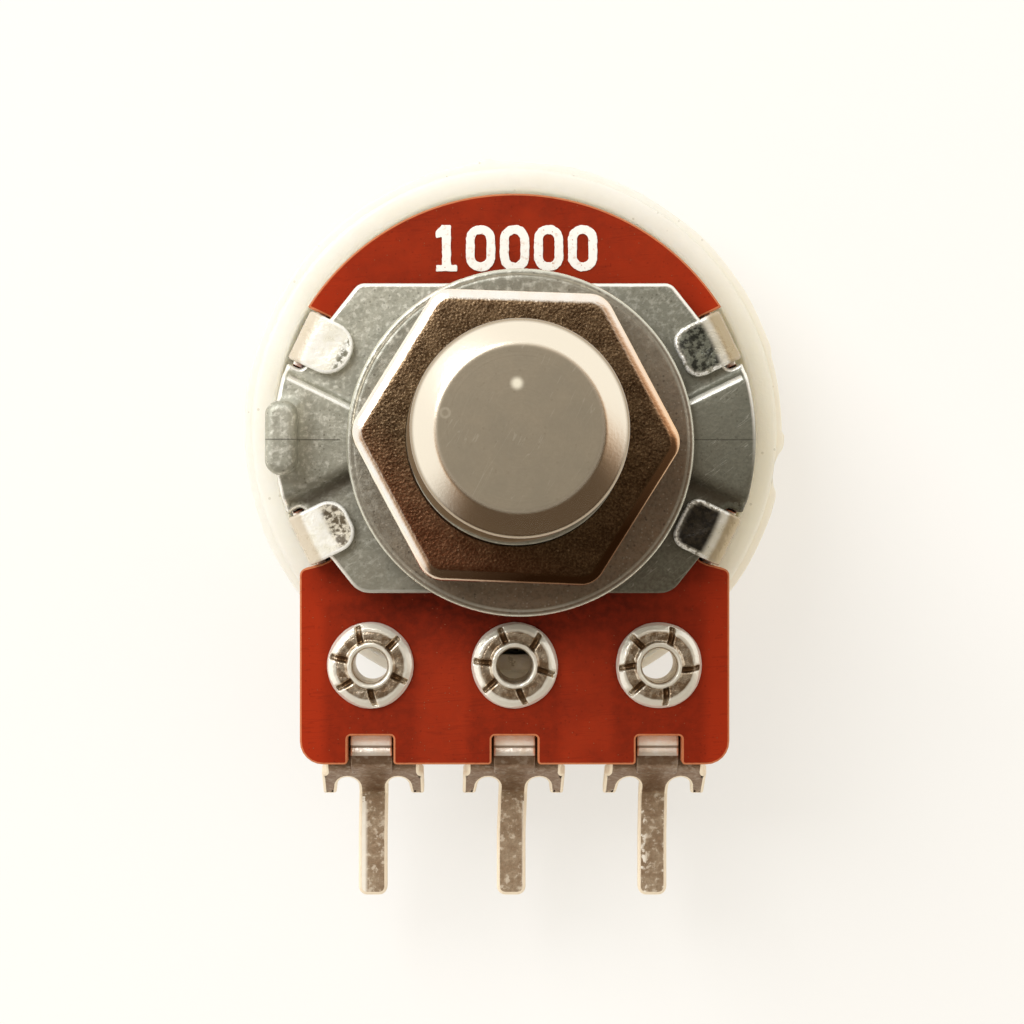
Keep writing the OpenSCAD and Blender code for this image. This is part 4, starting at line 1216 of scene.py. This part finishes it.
def pin_finish():
    """Tinned steel with a brown tarnish, grey-brown on the pins, with crumpled bright marks along them.
    Painted shade makes the slope behind the board's edge dark brown. Painted highlights run along the
    first pin's left edge, the second's right edge and in spots along both edges of the third, and the
    worn rims are painted bright, partly as highlights. The bridge in the notch is painted pale as a
    highlight, with painted shade along its crease. For the pins' highlights, x is split into the
    nearest multiple of the pitch and the distance from it."""
    look = Finish("pin_tin")
    x, y, z = look.xyz()
    cloud = look.use(PATCHES, Scale=2.2, Softness=0.4)
    fine = look.use(PATCHES, Scale=8.0, Softness=0.3)
    marks = look.use(PATCHES, Scale=4.4, Level=0.58, Softness=0.1)
    wear = look.use(WEAR, Rim=look.rim(), Scale=3.0, Roughness=0.5, Amount=0.95)
    which = calc("ROUND", x / PITCH)
    off = x - which * PITCH
    # painted highlights: bright bands along the pins' long edges
    on_left = ramp(off, -0.22, -0.34, smooth=False)
    on_right = ramp(off, 0.26, 0.35, smooth=False)
    first = on_left * (which < -0.5)
    second = on_right * (abs(which) < 0.5)
    third = (on_left | on_right) * marks * (which > 0.5)
    painted_highlight = first | second | third
    painted_highlight = painted_highlight * (y + fine * 0.4 < -12.6)
    # painted shade: the slope behind the board's edge goes dark brown
    slope = ramp(y, -12.75, -12.45)
    # painted highlight: the bridge in the notch is painted pale cream
    bridge = (z > 6.9) * (y > -11.05)
    # painted shade along the bridge's crease
    crease_shade = ramp(abs(y + CREASE), 0.07, 0.02, smooth=False)
    crease_shade = crease_shade * bridge
    look.colour = blend(cloud, (188, 160, 130), (226, 204, 174))
    look.over(fine * 0.4, (136, 110, 84))
    look.over(marks * 0.7, (246, 232, 210))
    look.over(slope * 0.75, (98, 66, 40))
    look.over(painted_highlight, (255, 248, 234))
    look.over(bridge, blend(cloud, (250, 236, 214), (255, 250, 238)))
    # worn rims, painted bright partly as highlights
    look.over(wear, (250, 234, 208))
    look.over(crease_shade * 0.8, (120, 92, 66))
    metallic = lerp(wear | painted_highlight, lerp(marks, 0.6, 0.45), 0.15)
    metallic = lerp(bridge, metallic, lerp(y > -CREASE, 0.6, 0.15))
    look.feed(Roughness=lerp(fine, 0.3, 0.42), Metallic=metallic)
    look.relief(look.use(GRAIN, Scale=2.4), 0.03)
    look.relief(look.use(GRAIN, Scale=12.0, Cells=0.2), 0.008)
    return look.material


TIN = pin_finish()
for side, x, lean in (("left", -PITCH, -0.05), ("middle", 0.0, -0.1), ("right", PITCH, -0.05)):
    put(f"pin_{side}", terminal_shell(x, lean), TIN, "housing", [f"terminal_{side}"])

# %% [markdown]
# ## Pressed case and its tabs
# The case is a shallow can, drawn from tinned sheet, that holds board and plate together with four
# folded tabs. Its rim is lower where the terminals leave. Inside, a tongue lanced from the floor
# stops the rotor. The can is turned, with a rim whose height depends on the angle; each tab is a
# stamped strip folded over the plate, slightly crumpled where the tool pressed it down.

# %% Case
CASE_R, CASE_T, CASE_Z = 8.2, 0.35, 0.8


def can_shell():
    """Wall and floor in one profile. Over the angles of the terminals the rim drops by 1.2 mm."""
    inner = CASE_R - CASE_T
    outside = [[0, CASE_Z], [CASE_R, CASE_Z], [CASE_R, BOARD_Z]]
    inside = [[inner, BOARD_Z], [inner, CASE_Z + CASE_T], [0, CASE_Z + CASE_T]]
    profile = rounded(outside + inside, [0, 0.45, 0.06, 0.06, 0.15, 0], 6, closed=False)

    def rim(r, z, a):
        gap = np.abs((a - 1.5 * np.pi + np.pi) % (2 * np.pi) - np.pi)
        low = np.clip((math.radians(49.2) - gap) / math.radians(1.2), 0, 1)
        brim = 0.22 * low * (z > 6.7) * (r < 8.0)
        return r - brim, z - 1.2 * low * np.clip((z - 5.0) / (BOARD_Z - 5.0), 0, 1)

    return lathe(profile, 300, rim)


def tab_shell(angle, seed, end_r):
    """Strip up the wall and in over the plate: its length runs along Y here, from the wall's foot at
    -y to the round end, and is then turned to the tab's angle."""
    reach, half, top = 1.95, 0.9, FLAT_Z + CASE_T / 2
    wall = CASE_R - CASE_T / 2
    bend = rounded([[wall, 4.9], [wall, top], [CASE_R - reach - 0.3, top]], 0.43, 10, closed=False)
    steps = np.r_[0, np.cumsum(np.linalg.norm(np.diff(bend, axis=0), axis=1))]
    length = steps[-1] - 0.3
    end = rounded(box(-half, 0, half, length), [0.02, 0.02, end_r, end_r], 8)
    flat = stamped(end, (), CASE_T, 0.1, 0.05, steps=4, spacing=0.1)
    rng = np.random.default_rng(seed)
    phase = rng.uniform(0, 6, 3)
    fine = np.linspace(0, steps[-1], 600)
    path = np.stack([np.interp(fine, steps, bend[:, 0]), np.interp(fine, steps, bend[:, 1])], 1)
    slope = np.gradient(path, fine, axis=0)
    slope /= np.linalg.norm(slope, axis=1, keepdims=True)

    def fold(x, y, t):
        press = np.clip((y - length + 1.5) / 0.8, 0, 1)
        dent = press * 0.035 * np.sin(3.1 * x + phase[0]) * np.sin(4.3 * y + phase[1])
        from_pit = (x - 0.2 * math.sin(phase[2])) ** 2 + (y - length + 0.7) ** 2
        dent = dent - press * 0.05 * np.exp(-from_pit / 0.12)
        lift = CASE_T / 2 - t - dent
        r, z = np.interp(y, fine, path[:, 0]), np.interp(y, fine, path[:, 1])
        dr, dz = np.interp(y, fine, slope[:, 0]), np.interp(y, fine, slope[:, 1])
        return r - lift * dz, -x, z + lift * dr

    # the rim value also covers a band inside the edge, wider on the right-hand tabs
    corner = np.abs(flat[0][:, :2]) - [half - end_r, length - end_r]
    deep = end_r - np.hypot(*np.maximum(corner, 0).T) - np.minimum(corner.max(1), 0)
    band = np.clip(((0.18 if abs(angle) < 90 else 0.14) - deep) / 0.1, 0, 1)
    verts, faces, rim = moved((flat[0], flat[1], np.maximum(flat[2], band)), fold)
    lowest = np.maximum(verts[:, 2], np.where(verts[:, 0] < 7.3, FLAT_Z + 0.004, 0))
    return turned_by((np.column_stack([verts[:, :2], lowest]), faces, rim), angle)


def tongue_shell():
    """The stop: a strip of the floor folded up square, 3 mm wide."""
    y, h = -6.25, 4.98 - CASE_Z
    flat = stamped(rounded(box(-1.5, 0, 1.5, h), [0.02, 0.02, 0.3, 0.3], 4), (), CASE_T, 0.05, 0.05)
    return moved(flat, lambda px, py, pz: (px, y - pz, py + CASE_Z))


TAB_ENDS = {TAB_ANGLE: 0.55, 180 - TAB_ANGLE: 0.84, 180 + TAB_ANGLE: 0.7, -TAB_ANGLE: 0.5}
tabs = [tab_shell(angle, 40 + k, end_r) for k, (angle, end_r) in enumerate(TAB_ENDS.items())]


def case_finish():
    """Tinned steel, nearly white. On the tabs' flat ends the tool left a crumpled patch: its mask says how
    far a point lies inside the bend, less the rim. The patch is painted in lit and dark copies as
    painted reflections: grey to white on the upper left tab, darker on the lower left, nearly black on
    the right-hand tabs. Painted shade darkens the right side, and the tabs' outer bends carry a beige
    painted reflection."""
    look = Finish("case_tin")
    x, y, z = look.xyz()
    radius = calc("SQRT", x * x + y * y)
    # painted shade: 0 on the left, towards the lamp, and 1 on the right
    side = look.slant((0.9, -0.35), -2.0, 3.0)
    down = look.slant((0.0, -1.0), -1.0, 1.0)
    reach = lerp(side, lerp(down, 6.8, 7.2), 7.6)
    inner = ramp(reach - radius, 0.0, 0.25)
    ragged = look.use(PATCHES, Scale=7.0, Level=0.52, Softness=0.2)
    rim = look.rim() * lerp(ragged * side, 1.0, 0.35)
    patch = inner * (1.0 - rim)
    # painted reflection: a beige band on the tabs' outer bends, darker on the right
    shade = ramp(radius, 7.66, 7.84)
    shade = shade * ramp(z, 8.7, 9.1, smooth=False)
    cloud = look.use(PATCHES, Scale=2.0, Softness=0.3)
    crumple = look.use(PATCHES, Scale=5.0, Softness=0.16)
    wear = look.use(WEAR, Rim=rim, Scale=6.0, Roughness=1.0, Amount=0.7)
    look.colour = blend(cloud, (246, 242, 226), (255, 253, 246))
    # painted shade: a golden darkening towards the right
    look.over(side * 0.3, (190, 176, 140))
    # painted reflection: the lit copy of the patch, grey to white above and darker below
    upper = blend(crumple, (120, 118, 100), (254, 253, 246))
    grey = blend(down, upper, blend(crumple, (96, 84, 64), (226, 218, 200)))
    # painted reflection: the dark copy of the patch for the right-hand tabs
    upper = blend(crumple, (40, 42, 34), (122, 124, 110))
    dark = blend(down, upper, blend(crumple, (22, 17, 10), (48, 41, 29)))
    look.over(patch * 0.985, blend(side, grey, dark))
    look.over(wear, (255, 254, 248))
    look.over(shade * 0.8, blend(side, (206, 190, 164), (168, 146, 104)))
    look.feed(Roughness=lerp(cloud, 0.26, 0.36), Metallic=lerp(side, 0.12, 0.4))
    look.relief(look.use(GRAIN, Scale=3.0), 0.04)
    look.relief(look.use(GRAIN, Scale=10.0, Cells=0.1), 0.01)
    return look.material


case_shell = join(can_shell(), tongue_shell(), *tabs)
put("pressed_case", case_shell, case_finish(), "housing", ["rear_case"])

# %% [markdown]
# ## Dust cover
# A thin cup of milky plastic is pushed over the back of the case. It is moulded: its lip is a thin
# flange, one spot of it keeps the stub where the plastic came in, and a piece of the lip has broken
# off. A turned profile whose radius depends on the angle gives all three. Light goes a little way
# into the plastic, so its finish scatters under the surface.

# %% Cover
COVER_SHIFT = np.array([0.0, 0.315])


def cover_shell():
    """Floor, wall and lip in one profile. With w = the angle's distance from a feature, the lip's
    radius gains 0.16 exp(-(w / 2.2 degrees)^2) at the stub and loses up to 0.3 mm over the break. The
    cover stands on a foot ring 0.12 mm high."""
    wall, lip = 9.35, 9.7
    outside = [[0, 0.12], [6.9, 0.12], [7.05, 0], [wall, 0], [wall, 4.35], [lip, 4.35], [lip, 4.7]]
    inside = [[wall, 4.7], [wall, 5.4], [8.55, 5.4], [8.55, 0.8], [0, 0.8]]
    radii = [0, 0.06, 0.06, 0.4, 0.08, 0.06, 0.06, 0.08, 0.16, 0.16, 0.3, 0]
    profile = rounded(outside + inside, radii, 5, closed=False)

    def form(r, z, a):
        deg = np.degrees(a)
        stub = 0.16 * bell(deg - 96, 2.2)
        nick = np.clip(1 - np.abs((deg - 351.5) / 4.6), 0, 1) ** 0.5
        film = 0.1 * (1 / (1 + np.exp(-(deg - 17) / 0.4)) - 1) * (deg < 180)
        wave = 0.02 * np.sin(3 * a + 1) + 0.012 * np.sin(11 * a) + 0.01 * np.sin(23 * a + 2)
        on_lip = climb(r, 9.42, 0.15)
        return r + on_lip * (stub - 0.3 * nick + film + wave - 0.03), z

    return lathe(profile, 360, form, centre=COVER_SHIFT)


def cover_finish():
    """Milky polyethylene: nearly white, faintly clouded, with dirt caught along the lip and a few
    brown stains; towards the lower right it turns creamy as a painted warm tint of the shade."""
    look = Finish("milky_plastic")
    z = look.xyz()[2]
    cloud = look.use(PATCHES, Scale=0.35, Softness=0.6)
    dirt_and_painted_shade = look.use(SPECKS, Scale=2.4, Size=0.12, Share=0.25)
    stain = look.use(PATCHES, Scale=0.8, Level=0.74, Softness=0.08)
    high = ramp(z, 3.9, 4.4, smooth=False)
    # painted tint of the shade: creamier towards the lower right, away from the lamp
    warm = look.slant((0.9, -0.4), 1.0, 8.5)
    look.colour = blend(cloud, (236, 231, 215), (244, 240, 226))
    look.over(warm, (255, 241, 214))
    look.over(dirt_and_painted_shade * (high * 0.3), (150, 134, 96))
    look.over(stain * (high * 0.6), (188, 156, 84))
    scatter = {"Subsurface_Weight": 0.8, "Subsurface_Radius": (1.0, 0.92, 0.8), "Subsurface_Scale": 0.003}
    look.feed(Roughness=0.4, **scatter)
    look.relief(look.use(GRAIN, Scale=3.0), 0.02)
    return look.material


put("cover", cover_shell(), cover_finish(), "housing", ["dust_cover"])

# %% [markdown]
# ## What turns and conducts inside
# The solids of the rotor, wiper, retaining ring, thrust washer and printed tracks already have the
# right shape, so they are kept as they are and only get their finishes: black moulding, phosphor
# bronze, dark spring steel, carbon ink and silver ink.

# %% Finishes of the inner pieces
def moulded_finish():
    """Black moulding: matt, faintly clouded, with a fine spark-eroded grain."""
    look = Finish("rotor_plastic")
    cloud = look.use(PATCHES, Scale=1.2, Softness=0.5)
    dust = look.use(SPECKS, Scale=4.0, Size=0.1, Share=0.3)
    look.colour = blend(cloud, (34, 32, 30), (48, 46, 43))
    look.over(dust, (90, 86, 80))
    look.feed(Roughness=lerp(cloud, 0.5, 0.62))
    look.relief(look.use(GRAIN, Scale=14.0, Cells=0.3), 0.006)
    return look.material


def sheet_metal_finish(name, light, dark, metallic):
    """Plain rolled sheet: clouds, rolling marks and specks between two colours."""
    look = Finish(name)
    cloud = look.use(PATCHES, Scale=1.8, Softness=0.4)
    marks = look.use(SCRATCHES, Scale=6.0, Angle=0.1, Width=0.03)
    look.colour = blend(cloud, dark, light)
    look.over(marks * 0.4, light)
    look.feed(Roughness=lerp(cloud, 0.42, 0.3), Metallic=metallic)
    look.relief(look.use(GRAIN, Scale=10.0), 0.005)
    return look.material


def ink_track_finish(name, light, dark, gloss):
    """Printed track: an even ink with a granular skin."""
    look = Finish(name)
    grains = look.use(GRAIN, Scale=16.0, Cells=0.6)
    cloud = look.use(PATCHES, Scale=3.0, Softness=0.5)
    look.colour = blend(cloud, dark, light)
    look.feed(Roughness=lerp(cloud, gloss, gloss + 0.12))
    look.relief(grains, 0.006)
    return look.material


BRONZE = sheet_metal_finish("phosphor_bronze", (206, 156, 96), (168, 120, 70), 1.0)
SPRING = sheet_metal_finish("spring_steel", (122, 120, 118), (84, 82, 82), 1.0)
CARBON = ink_track_finish("carbon_ink", (40, 40, 40), (26, 26, 26), 0.4)
SILVER = ink_track_finish("silver_ink", (206, 204, 198), (176, 174, 168), 0.4)
inner = {
    "rotor": moulded_finish(), "wiper_spring": BRONZE, "thrust_washer": BRONZE, "retaining_ring": SPRING,
    "carbon_track": CARBON, "collector_track": SILVER, "end_pad_left": SILVER, "end_pad_right": SILVER,
}
for name, material in inner.items():
    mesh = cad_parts[name].data
    mesh.materials.clear()
    mesh.materials.append(material)
print("solids kept and given a finish:", ", ".join(inner))

# %% [markdown]
# ## Floor, light and camera
# The part stands on a pale floor. Even light comes from all round, and one broad soft lamp at the
# upper left gives the shadow and the bright edges. Metal shows what it mirrors: here a white room
# with a soft brown dusk overhead and towards the viewer, who leans over the table, and a copper glow
# where the two meet. Only mirrored rays see that dusk; it takes no light from the part. The camera
# looks straight down from 107 mm.

# %% Floor
def floor_finish():
    """Pale board, a touch warm. For the camera alone, part of it is plain white, so that it shows
    nearly white and keeps a light shadow."""
    look = Finish("floor")
    cloud = look.use(PATCHES, Scale=0.02, Softness=0.8)
    look.colour = blend(cloud, (0.92, 0.9, 0.87, 1), (0.94, 0.93, 0.91, 1))
    look.feed(Roughness=0.9, Specular_IOR_Level=0.1)
    white = add(look.tree, "Emission", {"Color": (1.0, 0.985, 0.945, 1.0), "Strength": 1.0})
    seen = Wire(add(look.tree, "LightPath"), "Is Camera Ray") * 0.5
    shown = add(look.tree, "MixShader", {0: seen, 1: Wire(look.shader), 2: Wire(white)})
    plug(look.surface.inputs["Surface"], Wire(shown))
    return look.material


HALF_FLOOR = 2.0
floor_mesh = bpy.data.meshes.new("floor")
corners = [(*corner, 0) for corner in box(-HALF_FLOOR, -HALF_FLOOR, HALF_FLOOR, HALF_FLOOR)]
floor_mesh.from_pydata(corners, [], [[0, 1, 2, 3]])
floor_mesh.materials.append(floor_finish())
floor = bpy.data.objects.new("floor", floor_mesh)
bpy.context.scene.collection.objects.link(floor)
print("floor:", 2 * HALF_FLOOR, "m square")

# %% Light
def lamp(name, place, aim, size, power, colour):
    """Round soft lamp at a place in mm, turned so that its face looks at aim."""
    data = bpy.data.lights.new(name, "AREA")
    data.shape, data.size, data.energy, data.color = "DISK", size * 0.001, power, colour
    made = bpy.data.objects.new(name, data)
    bpy.context.scene.collection.objects.link(made)
    made.location = [0.001 * v for v in place]
    made.rotation_euler = Vector([b - a for a, b in zip(place, aim)]).to_track_quat("-Z", "Y").to_euler()
    return made


key = lamp("key", (-190, 200, 300), (0, 0, 8), 260, 0.88, (0.97, 1.0, 1.04))
OVERHEAD, VIEWER = (0.2, -0.5, 0.84), (0.22, -0.95, 0.2)

world = bpy.data.worlds.new("room")
bpy.context.scene.world = world
world.use_nodes = True
tree = world.node_tree
tree.nodes.clear()
rays = add(tree, "LightPath")
camera_ray = Wire(rays, "Is Camera Ray")
direction = Wire(add(tree, "TexCoord"), "Generated")
overhead, viewer = along(direction, OVERHEAD), along(direction, VIEWER)
sky = (1.0, 1.0, 1.0, 1.0)
for mask, colour in (
    (ramp(overhead, 0.4, 0.62), (0.66, 0.45, 0.3, 1.0)),
    (ramp(viewer, 0.25, 0.75), (0.1, 0.064, 0.038, 1.0)),
    (ramp(overhead, 0.52, 0.78), (0.085, 0.056, 0.034, 1.0)),
):
    sky = blend(mask * (1.0 - camera_ray), sky, colour)
mirrored = add(tree, "Background", {"Color": sky, "Strength": 1.0})
even = add(tree, "Background", {"Color": (1.0, 0.942, 0.84, 1.0), "Strength": 0.82})
seen = camera_ray | Wire(rays, "Is Glossy Ray") | Wire(rays, "Is Transmission Ray")
both = add(tree, "MixShader", {0: seen, 1: Wire(even), 2: Wire(mirrored)})
add(tree, "OutputWorld", {"Surface": Wire(both)})
bpy.context.scene.view_settings.view_transform = "Standard"
print("lamps:", key.name, "and the room")

# %% Camera
CAMERA_MM, IMAGE_PIXELS = 107, 1024
camera_data = bpy.data.cameras.new("camera")
camera_data.sensor_width, camera_data.lens = 36.0, 100.4
camera_data.shift_x, camera_data.shift_y = 0.0159, -0.0347
camera_data.clip_start, camera_data.clip_end = 0.005, 5.0
camera = bpy.data.objects.new("camera", camera_data)
camera.location = (-0.000655, -0.00131, CAMERA_MM / 1000)
bpy.context.scene.collection.objects.link(camera)
bpy.context.scene.camera = camera
pixels = IMAGE_PIXELS * camera_data.lens / camera_data.sensor_width / (CAMERA_MM - FACE_Z)
print("one millimetre of the face plane is", round(pixels, 1), "pixels")
